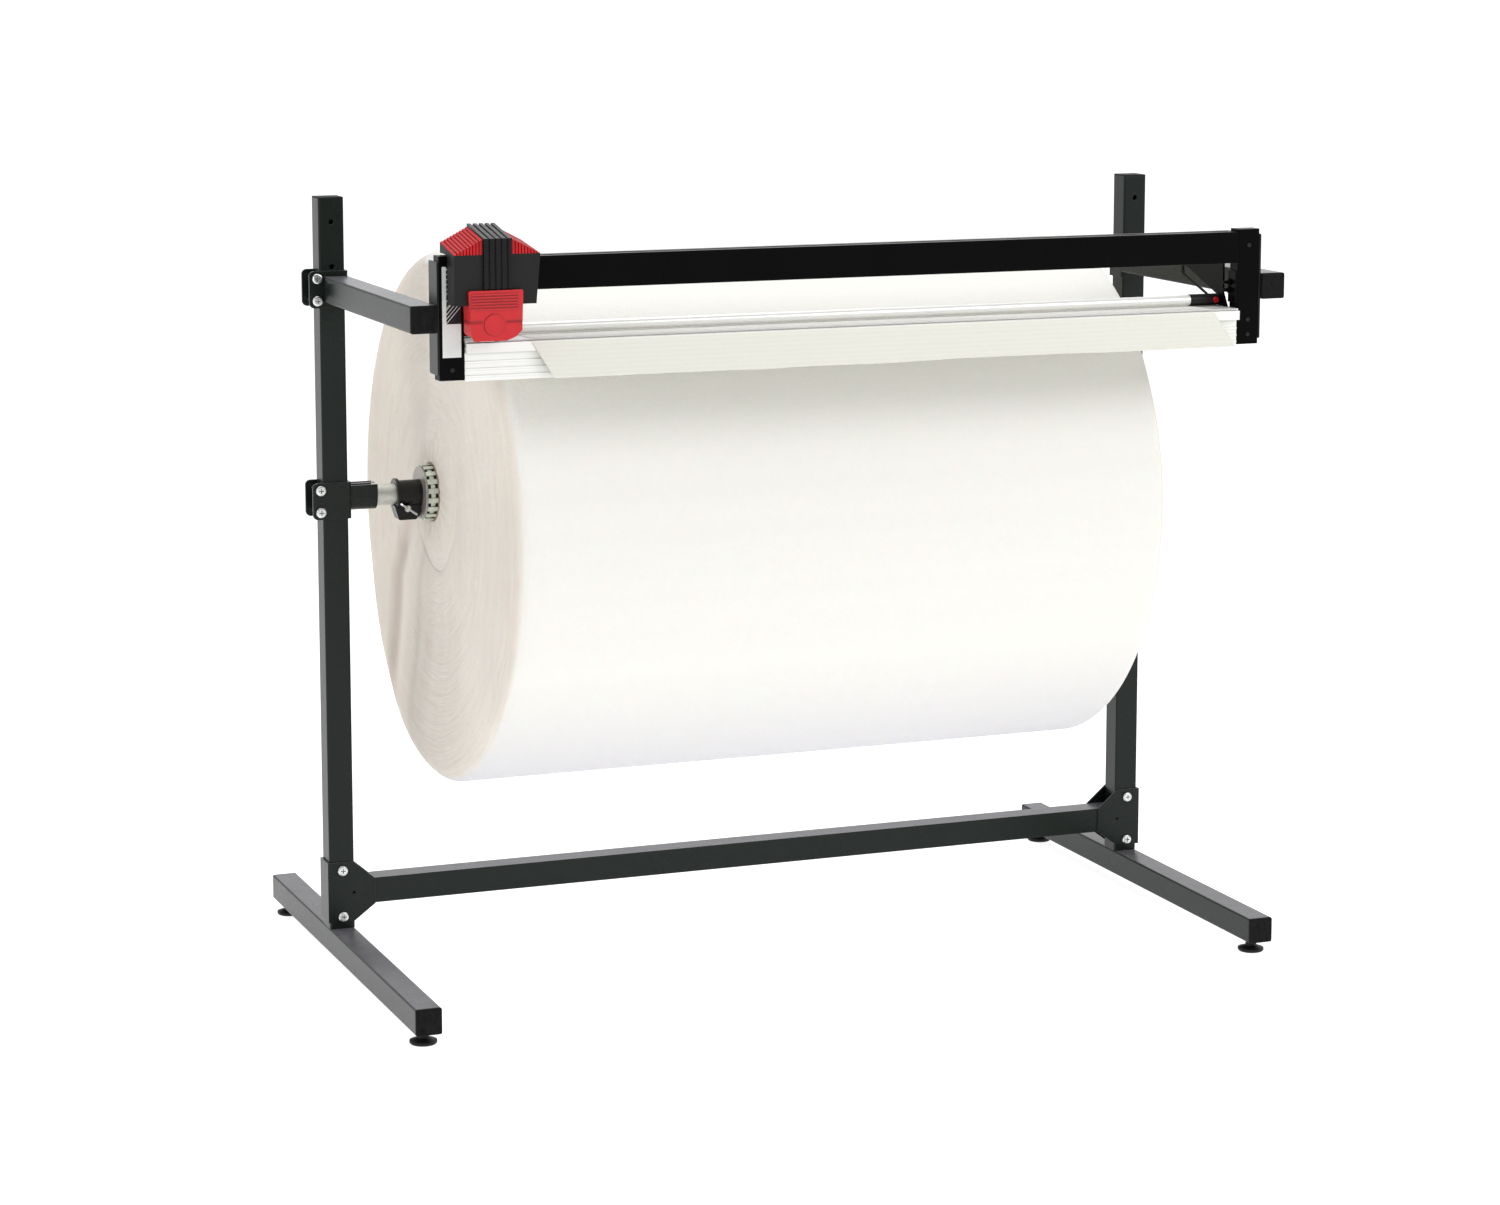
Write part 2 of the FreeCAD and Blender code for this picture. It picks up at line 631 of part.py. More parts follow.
def shaft():
    """Galvanised pipe that carries the roll between the cradles."""
    reach = S.inner_face - S.sheetFit - S.clampSheet - S.shaftEndGap
    body = new_body("roll_shaft", (0, S.upright_y, S.shaftAxis))
    pad(body, "YZ_Plane", -reach, reach, circles=[(0, 0, S.shaftRadius), (0, 0, S.shaftRadius - S.shaftWall)])
    return body


def lug_outline(side):
    """Front view of the clamp lug that hangs below the chuck sleeve."""
    outer = S.sleeve_start + S.lugOver
    inner = S.flange_place + S.lugGap
    corners = [(outer, S.lugTop), (outer - S.lugSlant, S.lugReach), (inner + S.lugSlant, S.lugReach),
               (inner, S.lugShoulder), (inner, S.lugTop)]
    return [(side * x, -drop) for x, drop in corners]


def chuck_sleeve(name, side):
    """Moulded sleeve on the shaft, slit below, with the lug that the wing screw pulls together."""
    body = new_body(name + "_chuck_sleeve", (0, S.upright_y, S.shaftAxis))
    start = side * S.sleeve_start
    rim = side * (S.sleeve_start - S.sleeveRimLength)
    end = side * S.flange_place
    outer = side * (S.sleeve_start + S.lugOver)
    half = S.lugDepth / 2
    pad(body, "YZ_Plane", start, end, circles=[(0, 0, S.sleeveRadius)])
    pad(body, "YZ_Plane", start, rim, circles=[(0, 0, S.sleeveRim)])
    pad(body, "XZ_Plane", -half, half, [lug_outline(side)])
    pocket(body, "YZ_Plane", outer, end, circles=[(0, 0, S.shaftRadius + S.chuckFit / 6)])
    slit = box_loop(-S.lugSlit / 2, S.lugSlit / 2, -S.lugReach, -S.shaftRadius)
    pocket(body, "YZ_Plane", outer, side * (S.flange_place + S.lugGap), [slit])
    middle = side * (S.sleeve_start - S.screwInset)
    pocket(body, "XZ_Plane", -half, half, circles=[(middle, -S.screwDrop, S.screwRadius + S.threadFit)])
    low = -S.screwDrop.number
    soften(body, S.lugDepth / 9, lambda edge: along(edge, Y_AXIS) and edge.BoundBox.Center.z < low)
    return body


def wing_screw(name, side):
    """Screw with two wings that pulls the chuck's clamp lug together."""
    middle = side * (S.sleeve_start - S.screwInset)
    base = (middle, S.upright_y, S.shaftAxis - S.screwDrop)
    body = new_body(name + "_wing_screw", base, Y_AXIS, S.wingTurn.number)
    tip = S.lugDepth / 2
    head = tip + S.joinFit
    pad(body, "XZ_Plane", -(head + S.wingHeight / 2), tip, circles=[(0, 0, S.screwRadius)])
    pad(body, "XZ_Plane", -(head + S.wingHeight / 3), -head, circles=[(0, 0, S.screwRadius + S.wingSheet * 2 / 3)])
    low, high = -(head + S.wingHeight), -head
    saddle = low + S.wingHeight / 2
    shoulder = low + S.wingHeight / 4
    half_wing = [(S.screwRadius / 2, saddle), (S.wingSpan - S.wingSheet, low), (S.wingSpan, shoulder),
                 (S.screwRadius, high)]
    wings = [(-u, v) for u, v in reversed(half_wing)] + half_wing
    pad(body, "XY_Plane", -S.wingSheet / 2, S.wingSheet / 2, [wings])
    return body


def chuck_flange(name, side):
    body = new_body(name + "_chuck_flange", (0, S.upright_y, S.shaftAxis))
    inner = side * (S.flange_place - S.flangeSheet)
    circles = [(0, 0, S.flangeRadius), (0, 0, S.shaftRadius + S.chuckFit / 6)]
    pad(body, "YZ_Plane", side * S.flange_place, inner, circles=circles)
    return body


def chuck_ring(name, side):
    """Castellated ring that grips the core's end, with its hub inside the core."""
    body = new_body(name + "_chuck_ring", (0, S.upright_y, S.shaftAxis))
    start = S.flange_place - S.flangeSheet
    end = start - S.ringLength
    pad(body, "YZ_Plane", side * start, side * end, circles=[(0, 0, S.ringRadius)])
    hub_end = side * (end - S.hubLength)
    pad(body, "YZ_Plane", side * end, hub_end, circles=[(0, 0, S.coreBore - S.chuckFit)])
    band = (start - S.ringNotch, end + S.ringNotch)
    pad(body, "YZ_Plane", side * band[0], side * band[1], circles=[(0, 0, S.ringBand)])
    tooth_half = S.ringRadius * math.pi / S.ringTeeth * S.toothShare
    reach = S.ringRadius + S.ringToothHeight
    tooth = pad(body, "YZ_Plane", side * start, side * end,
                [box_loop(-tooth_half, tooth_half, S.ringRadius - S.ringToothHeight, reach)])
    pattern = body.newObject("PartDesign::PolarPattern", body.Name + "Teeth")
    pattern.Originals = [tooth]
    axis = [item for item in body.Origin.OriginFeatures if item.Role == "X_Axis"][0]
    pattern.Axis = (axis, [""])
    pattern.Angle = 360.0
    bind(pattern, "Occurrences", S.ringTeeth)
    body.Tip = pattern
    DOC.recompute()
    bore = (0, 0, S.shaftRadius + S.chuckFit / 6)
    pocket(body, "YZ_Plane", side * start, hub_end, circles=[bore])
    return body


def core_end():
    """Distance of the core's ends from the middle of the stand."""
    return S.flange_place - S.flangeSheet - S.ringLength - S.joinFit


def core_tube():
    """Cardboard core of the roll."""
    body = new_body("core_tube", (0, S.upright_y, S.shaftAxis))
    circles = [(0, 0, S.coreBore + S.coreWall), (0, 0, S.coreBore)]
    pad(body, "YZ_Plane", -core_end(), core_end(), circles=circles)
    return body


def slack_bore():
    """Radius of the sagging film's bore, which hangs on top of the core."""
    return S.coreBore + S.coreWall + S.joinFit + S.rollSag


def inner_wraps_edge():
    """Outer radius of the tight inner turns, which close the slack bore."""
    return slack_bore() + S.rollSag + S.wrapLap


def wrap_roll():
    """Wound film, sagging below the shaft: dished ends with soft shoulders, turned about its own axis."""
    bore = slack_bore().number
    recess = (inner_wraps_edge() + S.rollSag + S.joinFit).number
    radius = S.rollRadius.number
    half = (S.rollWidth / 2).number
    centre = S.rollOffset.number
    edge = S.rollEdge.number
    shoulder = S.rollShoulder.number
    core = core_end().number
    floor = core - (S.wrapSheet + S.joinFit).number
    bulge = 1 - math.cos(math.radians(45.0))

    def point(x, r):
        return FreeCAD.Vector(x, 0, r)

    def end_edges(side):
        tip = centre + side * half
        low = point(tip, radius - shoulder)
        middle = point(tip - side * edge * bulge, radius - shoulder * bulge)
        high = point(tip - side * edge, radius)
        step = [point(side * floor, bore), point(side * floor, recess), point(side * core, recess)]
        return step + [low, middle, high]

    def skin(corners):
        lines = [Part.LineSegment(corners[index], corners[index + 1]) for index in range(3)]
        return lines + [Part.Arc(*corners[3:])]

    left = end_edges(LEFT)
    right = end_edges(RIGHT)
    curves = skin(left) + skin(right)
    curves += [Part.LineSegment(left[-1], right[-1]), Part.LineSegment(left[0], right[0])]
    face = Part.Face(Part.Wire(Part.__sortEdges__([curve.toShape() for curve in curves])))
    item = DOC.addObject("Part::Feature", "wrap_roll")
    item.Shape = face.revolve(FreeCAD.Vector(0, 0, 0), X_AXIS, 360)
    place(item, (0, S.upright_y, S.roll_axis))
    return keep(item, "wrap_roll")


def inner_wraps(name, side):
    """Tight inner turns of the film round one end of the core, over the slack bore."""
    body = new_body(name + "_inner_wraps", (0, S.upright_y, S.shaftAxis))
    circles = [(0, 0, inner_wraps_edge()), (0, 0, S.coreBore + S.coreWall + S.joinFit)]
    pad(body, "YZ_Plane", side * core_end(), side * (core_end() - S.wrapSheet), circles=circles)
    return body


# ---- film ---------------------------------------------------------------------------------

def ribbon(points, thickness):
    """Closed outline of a thin strip that follows a line of (y, z) points."""
    above = []
    below = []
    for index, (y, z) in enumerate(points):
        before = points[max(index - 1, 0)]
        after = points[min(index + 1, len(points) - 1)]
        run = math.hypot(after[0] - before[0], after[1] - before[1])
        across = (-(after[1] - before[1]) / run, (after[0] - before[0]) / run)
        above.append(FreeCAD.Vector(0, y + across[0] * thickness / 2, z + across[1] * thickness / 2))
        below.append(FreeCAD.Vector(0, y - across[0] * thickness / 2, z - across[1] * thickness / 2))
    return Part.Face(Part.makePolygon(above + below[::-1] + above[:1]))


def quarter(centre, radius, start, end, steps=4):
    """Points of an arc in the YZ plane, angles in degrees."""
    turn = [math.radians(start + (end - start) * index / steps) for index in range(steps + 1)]
    return [(centre[0] + radius * math.cos(angle), centre[1] + radius * math.sin(angle)) for angle in turn]


def swing(start, first, second, end, steps=12):
    """Points of a free curve between two places, led by two more."""
    line = []
    for index in range(1, steps):
        t = index / steps
        weights = ((1 - t) ** 3, 3 * t * (1 - t) ** 2, 3 * t ** 2 * (1 - t), t ** 3)
        corners = (start, first, second, end)
        line.append(tuple(sum(w * c[axis] for w, c in zip(weights, corners)) for axis in range(2)))
    return line


def film_places():
    """Middle line of the film: over the roll's top, up to the deck and cut line, and on over the front."""
    lie = (S.filmThickness / 2 + S.filmGap).number
    reach = S.rollRadius.number + lie
    bend = (S.deckThickness / 3).number
    deck = S.deck_top.number + lie
    centre = ((S.upright_y - S.rail_back).number, S.deck_top.number)
    centre = (centre[0] - bend, centre[1] - bend)
    middle = (S.upright_y.number, S.roll_axis.number)
    leave = 90.0 + S.filmLeave.number
    on_roll = quarter(middle, reach, 90.0, leave, 20)
    heading = math.radians(leave + 90.0)
    start = on_roll[-1]
    fall = S.filmFall.number
    first = (start[0] + fall * math.cos(heading), start[1] + fall * math.sin(heading))
    behind = (centre[0] + bend + lie, centre[1])
    second = (behind[0], behind[1] - S.filmRise.number)
    corner_line = quarter(centre, bend + lie, 0.0, 90.0)
    cut_y = S.cut_y.number
    half_slot = (S.slotWidth / 2).number
    web = on_roll + swing(start, first, second, behind) + corner_line + [(cut_y + half_slot, deck)]
    lip_y = (S.upright_y - S.lip_front).number
    lip_z = S.lip_top.number + lie
    fold = lie + S.filmFold.number
    corner = (lip_y + S.filmFold.number, lip_z - fold)
    flap = [(cut_y - half_slot, lip_z)] + quarter(corner, fold, 90.0, 180.0)
    flap.append((lip_y - lie, S.rail_bottom.number))
    return web, flap


def film_web():
    """Film lying on the roll's top, then up and over the deck to the cut line."""
    web, flap = film_places()
    low = (S.rollOffset - S.rollWidth / 2).number
    item = DOC.addObject("Part::Feature", "film_web")
    solid = ribbon(web, S.filmThickness.number).extrude(FreeCAD.Vector(S.rollWidth.number, 0, 0))
    item.Shape = solid
    place(item, (low, 0, 0))
    return keep(item, "film_web")


def film_end():
    """Free end of the film, lying over the front of the rail with slanted sides."""
    web, flap = film_places()
    low = (S.rollOffset - S.rollWidth / 2).number
    slant = S.filmSlant.number
    solid = ribbon(flap, S.filmThickness.number).extrude(FreeCAD.Vector(S.rollWidth.number + slant, 0, 0))
    margin = S.railWall.number
    top = S.lip_top.number + margin
    bottom = S.rail_bottom.number - margin
    width = S.rollWidth.number
    corners = [(0, top), (width, top), (width + slant, bottom), (slant, bottom)]
    outline = [FreeCAD.Vector(x, 0, z) for x, z in corners]
    depth = S.tubeSize.number * 2
    front = (S.upright_y - S.lip_front - S.tubeSize).number
    cutter = Part.Face(Part.makePolygon(outline + outline[:1])).extrude(FreeCAD.Vector(0, depth, 0))
    cutter.translate(FreeCAD.Vector(0, front, 0))
    item = DOC.addObject("Part::Feature", "film_end")
    item.Shape = solid.common(cutter)
    place(item, (low, 0, 0))
    return keep(item, "film_end")


# ---- cutter frame -------------------------------------------------------------------------

def end_bracket(name, side):
    """Channel-shaped end bracket with a bolting pad on its inner side."""
    body = new_body(name + "_end_bracket", (0, S.front, 0))
    inner, outer = side * S.bracket_inner, side * S.bracket_outer
    height = (S.bracket_bottom, S.bracket_top)
    pad(body, "XY_Plane", height[0], height[1], [box_loop(inner, outer, 0, S.bracketDepth)])
    soften(body, S.bracketWall / 2, lambda edge: along(edge, Z_AXIS) and edge.BoundBox.Center.y < 1)
    wall = S.bracketWall
    hollow = box_loop(inner + side * wall, outer - side * wall, wall, S.bracketDepth)
    pocket(body, "XY_Plane", height[0] + wall, height[1] - wall, [hollow])
    low = S.armAxis - S.padHeight / 2
    block = [box_loop(wall / 2, S.bracketDepth, low, low + S.padHeight)]
    near = inner - side * S.padThickness
    pad(body, "YZ_Plane", near, inner + side * wall, block)
    pocket(body, "YZ_Plane", near, outer, circles=stud_holes())
    return body


def stud_holes():
    """Holes for the studs, seen from the side, measured from the cutter's front."""
    drill = S.mountBoltRadius + S.threadFit
    return [(S.sideDepth / 2, S.armAxis + step * S.mountBoltPitch / 2, drill) for step in (-1, 1)]


def side_plate(name, side):
    """Flat adapter between the arm and the end bracket."""
    body = new_body(name + "_side_plate", (0, S.front, 0))
    low, high = side * S.bracket_outer, side * S.arm_face
    bottom, top = S.armAxis - S.sideHalf, S.armAxis + S.sideHalf
    pad(body, "YZ_Plane", low, high, [box_loop(0, S.sideDepth, bottom, top)])
    soften(body, S.tubeCorner, lambda edge: along(edge, X_AXIS))
    pocket(body, "YZ_Plane", low, high, circles=stud_holes())
    return body


def guide_beam():
    """Hollow beam with an undercut groove on top for the head's runner."""
    reach = S.bracket_inner - S.joinFit
    half = S.beamDepth / 2
    body = new_body("guide_beam", (0, S.beam_y, S.beam_top))
    mouth, wide = S.grooveMouth / 2, S.grooveWidth / 2
    lip, deep = S.grooveLip, S.grooveDepth
    right = [(half, -S.beamHeight), (half, 0), (mouth, 0), (mouth, -lip), (wide, -lip), (wide, -deep)]
    outline = right + [(-u, v) for u, v in reversed(right)]
    pad(body, "YZ_Plane", -reach, reach, [outline])
    outside = half.number - S.joinFit.number
    corner = S.beamWall / 3
    soften(body, corner, lambda edge: along(edge, X_AXIS) and abs(edge.BoundBox.Center.y) > outside)
    wall = S.beamWall
    chamber = box_loop(-half + wall, half - wall, -S.beamHeight + wall, -deep - wall)
    pocket(body, "YZ_Plane", -reach, reach, [chamber])
    return body


def rail_outline():
    """Front lip, cutting groove, deck and ribbed face of the rail, seen from the end."""
    cut, slot = -S.cut_plane, S.slotWidth / 2
    face, lip = -S.face_front, -S.lip_front
    back = -S.rail_back
    under = S.deck_top - S.deckThickness
    inner = face + S.railWall
    bend = S.deckThickness / 3
    bottom = S.deck_top - S.slotDepth
    rows = [(lip, S.lip_bottom), (lip, S.lip_top), (cut - slot, S.lip_top), (cut - slot, bottom),
            (cut + slot, bottom), (cut + slot, S.deck_top), (back, S.deck_top), (back, under),
            (inner, under), (inner, S.rail_bottom), (face, S.rail_bottom)]
    pitch = (S.lip_bottom - S.rail_bottom) / S.railRibs
    for index in range(int(S.railRibs.number) - 1):
        low = S.rail_bottom + pitch * index + pitch / 2
        rows += [(face, low), (face - S.ribProud, low), (face - S.ribProud, low + S.ribHeight),
                 (face, low + S.ribHeight)]
    rows.append((face, S.lip_bottom))
    return rows


def cutting_rail():
    """Aluminium rail: the film lies on its deck and is cut along its groove."""
    reach = S.bracket_inner - S.joinFit
    body = new_body("cutting_rail", (0, S.upright_y, 0))
    pad(body, "YZ_Plane", -reach, reach, [rail_outline()])
    back = -S.rail_back.number - S.joinFit.number
    bend = S.deckThickness / 3
    soften(body, bend, lambda edge: along(edge, X_AXIS) and edge.BoundBox.Center.y > back)
    wall = S.railWall
    low, high = S.deck_top - S.deckThickness + wall, S.deck_top - wall
    front = -S.cut_plane + S.slotWidth / 2 + wall
    middle = (front - S.rail_back - wall) / 2
    chambers = [box_loop(front, middle - wall / 2, low, high),
                box_loop(middle + wall / 2, -S.rail_back - wall * 1.5, low, high)]
    pocket(body, "YZ_Plane", -reach, reach, chambers)
    return body


def cutting_strip():
    """Plastic strip in the bottom of the groove, under the blade's edge."""
    reach = S.bracket_inner - S.joinFit
    body = new_body("cutting_strip", (0, S.cut_y, S.deck_top - S.slotDepth))
    half = S.slotWidth / 2
    pad(body, "YZ_Plane", -reach, reach, [box_loop(-half, half, 0, S.stripHeight)])
    return body


def front_plate():
    """Plain plate on the front of the left bracket."""
    body = new_body("front_plate", (-(S.bracket_inner + S.bracket_outer) / 2, S.front, 0))
    half = S.plateWidth / 2
    low = S.armAxis - S.plateDrop
    pad(body, "XZ_Plane", -S.platePanel, 0, [box_loop(-half, half, low, low + S.plateHeight)])
    return body


def bracket_screws():
    """Small pan heads on the front of both end brackets."""
    heads = []
    middle = (S.bracket_inner + S.bracket_outer) / 2
    for name, side in SIDES:
        rises = (S.screwLow, S.screwMiddle, S.screwHigh) if side == RIGHT else (S.screwLow,)
        for index, rise in enumerate(rises):
            base = (side * middle, S.front, S.bracket_bottom + rise)
            heads.append(cylinder("%sScrew%d" % (name, index), S.screwHead, S.screwProud, base, X_AXIS, 90))
    return group("bracket_screws", heads)


def mount_bolts():
    """Studs that hold each end bracket and its side plate on the arm."""
    studs = []
    y = S.front + S.sideDepth / 2
    start = S.arm_face + S.tubeWall
    for name, side in SIDES:
        for index in (-1, 1):
            z = S.armAxis + index * S.mountBoltPitch / 2
            reach = start - S.bracket_inner + S.padThickness + S.studReach
            base = (side * start, y, z)
            key = "%sStud%d" % (name, index)
            shank = cylinder(key + "Shank", S.mountBoltRadius, reach, base, Y_AXIS, -90 * side)
            head = cylinder(key + "Head", S.mountHead, S.mountBoltRadius, base, Y_AXIS, 90 * side)
            seat = (side * (S.bracket_inner - S.padThickness), y, z)
            lock = hexagon(key + "Nut", S.mountHead, S.mountBoltRadius, seat, Y_AXIS, -90 * side)
            studs.append(joined(key, [shank, head, lock]))
    return group("mount_bolts", studs)


# ---- hold-down bar ------------------------------------------------------------------------

def guide_plate(name, side):
    """Sheet guide with a rising slot for the bar's end, screwed behind the beam."""
    body = new_body(name + "_guide_plate", (0, S.upright_y, 0))
    angle = math.radians(S.slotAngle.number)
    pin = S.pinRadius / 2
    slot = S.pinRadius + S.pinFit
    rim = slot + S.guideRim
    beam_back = -S.armReach + S.beamDepth
    seat = -S.bar_behind
    drop = math.tan(angle)
    far = seat + S.slotTravel * math.cos(angle) + rim
    foot = S.deck_top + S.filmGap
    lift = S.bar_z
    front = beam_back + S.joinFit
    back_low = lift + (far - seat) * drop - rim / math.cos(angle)
    shelf = S.beam_bottom + S.guideRim
    back = far - S.guideStep
    outline = [(seat - S.guideToe, foot), (seat - pin, foot), (far, back_low), (far, back_low + S.guideHeel),
               (back, shelf), (back, S.guide_top), (front, S.guide_top), (front, lift + rim)]
    low = side * S.guide_place
    high = side * (S.guide_place + S.guideSheet)
    pad(body, "YZ_Plane", low, high, [outline])
    behind = (far - rim).number
    soften(body, S.guideRim, lambda edge: along(edge, X_AXIS) and edge.BoundBox.Center.y > behind)
    tab = [box_loop(front, front + S.guideSheet, shelf, S.guide_top)]
    pad(body, "YZ_Plane", side * (S.guide_place - S.tabWidth), low, tab)
    start = (seat, lift)
    track = [box_loop(0, S.slotTravel, -slot, slot)]
    pocket(body, "YZ_Plane", low, high, track, spin=(start, S.slotAngle))
    ends = [(0, 0, slot), (S.slotTravel, 0, slot)]
    pocket(body, "YZ_Plane", low, high, circles=ends, spin=(start, S.slotAngle))
    return body


def hold_down_bar():
    """Aluminium tube that keeps the film on the deck."""
    body = new_body("hold_down_bar", (0, S.bar_y, S.bar_z))
    half = S.bar_half
    pad(body, "YZ_Plane", -half, half, circles=[(0, 0, S.barRadius), (0, 0, S.pinRadius)])
    return body


def bar_end(name, side):
    """Black sleeve on the bar's end with the pin that rides in the guide."""
    body = new_body(name + "_bar_sleeve", (0, S.bar_y, S.bar_z))
    start = side * S.bar_half
    end = side * (S.bar_half + S.barSleeveLength)
    pad(body, "YZ_Plane", start, end, circles=[(0, 0, S.barSleeve)])
    beyond = (S.bar_half + S.joinFit).number
    soften(body, S.threadFit * 4, lambda edge: abs(edge.BoundBox.Center.x) > beyond)
    pin_end = side * (S.guide_place + S.guideSheet + S.guideSheet)
    pad(body, "YZ_Plane", start - side * S.capInsert, pin_end, circles=[(0, 0, S.pinRadius - S.threadFit)])
    middle = end - side * S.buttonInset
    seat = S.barSleeve - S.buttonSeat
    hole = [(middle, 0, S.buttonRadius + S.sheetFit)]
    pocket(body, "XZ_Plane", -S.barSleeve, -seat, circles=hole)
    return body


def bar_buttons():
    """Red plugs in the front of both sleeves."""
    plugs = []
    for name, side in SIDES:
        x = side * (S.bar_half + S.barSleeveLength - S.buttonInset)
        base = (x, S.bar_y - S.barSleeve + S.buttonSeat, S.bar_z)
        length = S.buttonSeat + S.buttonProud
        plug = cylinder(name + "Button", S.buttonRadius, length, base, X_AXIS, 90)
        plugs.append(plug)
    return group("bar_buttons", plugs)


# ---- sliding head -------------------------------------------------------------------------

def lofted(front_points, back_points, front_y, back_y):
    """Solid between a front and a back outline, both in XZ."""
    wires = []
    for y, points in ((front_y, front_points), (back_y, back_points)):
        corners = [FreeCAD.Vector(x.number, y.number, z.number) for x, z in points]
        wires.append(Part.makePolygon(corners + corners[:1]))
    return Part.makeLoft(wires, True, True)


def head_origin():
    return (-S.head_place, S.upright_y, 0)


def head_body():
    """Black housing: front block over the beam, sloping crown, runner and blade arm."""
    front, back = -S.head_front, -S.head_back
    gap = -S.armReach - S.headGap
    half = S.headHalf
    floor = S.bracket_top + S.overGap
    rows = [(-half, S.head_bottom), (half - S.headTaper, S.head_bottom), (half, floor), (half, S.head_eave),
            (-half, S.head_eave)]
    corners = [FreeCAD.Vector(x.number, front.number, z.number) for x, z in rows]
    block = Part.Face(Part.makePolygon(corners + corners[:1])).extrude(Y_AXIS * (gap - front).number)
    rise = S.headRise
    crown = lofted(box_loop(-half, half, floor, S.head_eave),
                   box_loop(-S.headBackHalf, S.headBackHalf, floor, S.head_eave + rise), front, back)
    spine = lofted(box_loop(-S.bandHalf, S.bandHalf, floor, S.head_ridge),
                   box_loop(-S.bandBackHalf, S.bandBackHalf, floor, S.head_ridge + rise), front, back)
    shape = block.fuse([crown, spine])
    shape = shape.fuse([runner_shape(floor), arm_shape()])
    shape = shape.cut(blade_room())
    item = DOC.addObject("Part::Feature", "head_body")
    item.Shape = shape.removeSplitter()
    place(item, head_origin())
    return keep(item, "head_body")


def slab(x_low, x_high, y_low, y_high, z_low, z_high):
    """Box between named limits."""
    low = FreeCAD.Vector(x_low.number, y_low.number, z_low.number)
    high = FreeCAD.Vector(x_high.number, y_high.number, z_high.number)
    size = high - low
    return Part.makeBox(size.x, size.y, size.z, low)


def runner_shape(floor):
    """T-shaped runner under the crown that slides in the beam's groove."""
    middle = -S.armReach + S.beamDepth / 2
    half = S.runnerLength / 2
    neck = S.grooveMouth / 2 - S.runFit
    wide = S.grooveWidth / 2 - S.runFit
    top = S.beam_top
    stem = slab(-half, half, middle - neck, middle + neck, top - S.grooveLip - S.runFit, floor)
    foot = slab(-half, half, middle - wide, middle + wide, top - S.grooveDepth + S.runFit,
                top - S.grooveLip - S.runFit)
    return stem.fuse(foot)


def arm_shape():
    """Arm that hangs below the block, in front of the blade, and carries its axle."""
    x = -S.bladeOffset
    width = S.hubRadius
    back = -S.cut_plane - S.bladeSheet * 3
    face = back - S.hubRadius
    root = S.head_bottom + S.guardWall
    arm_piece = slab(x - width, x + width, face, back, S.blade_axis, root)
    centre = FreeCAD.Vector(x.number, face.number, S.blade_axis.number)
    eye = Part.makeCylinder(width.number, S.hubRadius.number, centre, Y_AXIS)
    bore = Part.makeCylinder((S.axleRadius + S.axleFit).number, S.hubRadius.number, centre, Y_AXIS)
    return arm_piece.fuse(eye).cut(bore)


def blade_room():
    """Slot in the block above the blade."""
    x = -S.bladeOffset
    reach = S.bladeRadius + S.slotWidth
    front = -S.cut_plane - S.bladeSheet * 3
    return slab(x - reach, x + reach, front, -S.armReach, S.head_bottom - S.slotWidth, S.blade_axis + reach)


def grip_grooves(inner, outer, inner_back, outer_back):
    """Shallow grooves down the front and back over the slope, between the ridges of a grip."""
    front, back = -S.head_front, -S.head_back
    half, deep = S.gripGroove / 2, S.gripDepth
    drop = S.head_ridge - S.head_eave
    cuts = []
    for index in range(1, int(S.gripRidges.number)):
        share = index / S.gripRidges.number
        top = S.head_ridge - drop * share
        near = inner + (outer - inner) * share
        far = inner_back + (outer_back - inner_back) * share
        high = S.head_ridge + S.headRise
        outlines = []
        for middle, floor in ((near, top - deep), (far, top - deep + S.headRise)):
            outlines.append(box_loop(middle - half, middle + half, floor, high))
        cuts.append(lofted(outlines[0], outlines[1], front - S.joinFit, back + S.joinFit))
        face = front - S.joinFit
        cuts.append(slab(near - half, near + half, face, front + deep, S.head_eave - S.joinFit, high))
    return cuts


def grip(name, side):
    """Red ridged side of the crown, between the band and the eave."""
    front, back = -S.head_front, -S.head_back
    inner, outer = side * (S.bandHalf + S.joinFit / 3), side * S.headHalf
    inner_back, outer_back = side * (S.bandBackHalf + S.joinFit / 3), side * S.headBackHalf
    low, low_back = S.head_eave, S.head_eave + S.headRise
    high, high_back = S.head_ridge, S.head_ridge + S.headRise
    shape = lofted([(outer, low), (inner, high), (inner, low)],
                   [(outer_back, low_back), (inner_back, high_back), (inner_back, low_back)], front, back)
    item = DOC.addObject("Part::Feature", name + "_grip")
    item.Shape = shape.cut(grip_grooves(inner, outer, inner_back, outer_back))
    place(item, head_origin())
    return keep(item, name + "_grip")


def band_outline(thickness):
    """Side view of the band: up the front of the block, then back along the ridge."""
    front, back = -S.head_front, -S.head_back
    low, eave, ridge = S.band_bottom, S.head_ridge, S.head_ridge + S.headRise
    return [(front - thickness, low), (front, low), (front, eave), (back, ridge), (back, ridge + thickness),
            (front - thickness, eave + thickness / 3)]


def grip_band():
    """Black rubber band with rounded ribs over the middle of the head."""
    body = new_body("grip_band", head_origin())
    half = S.bandBackHalf
    pad(body, "YZ_Plane", -half, half, [band_outline(S.bandBase)])
    first = -S.ribPitch * (S.ribCount - 1) / 2
    rib = pad(body, "YZ_Plane", first - S.ribWide / 2, first + S.ribWide / 2, [band_outline(S.bandRib)])
    pattern = body.newObject("PartDesign::LinearPattern", "BandRibs")
    pattern.Originals = [rib]
    axis = [item for item in body.Origin.OriginFeatures if item.Role == "X_Axis"][0]
    pattern.Direction = (axis, [""])
    bind(pattern, "Length", S.ribPitch * (S.ribCount - 1))
    bind(pattern, "Occurrences", S.ribCount)
    body.Tip = pattern
    DOC.recompute()
    return body


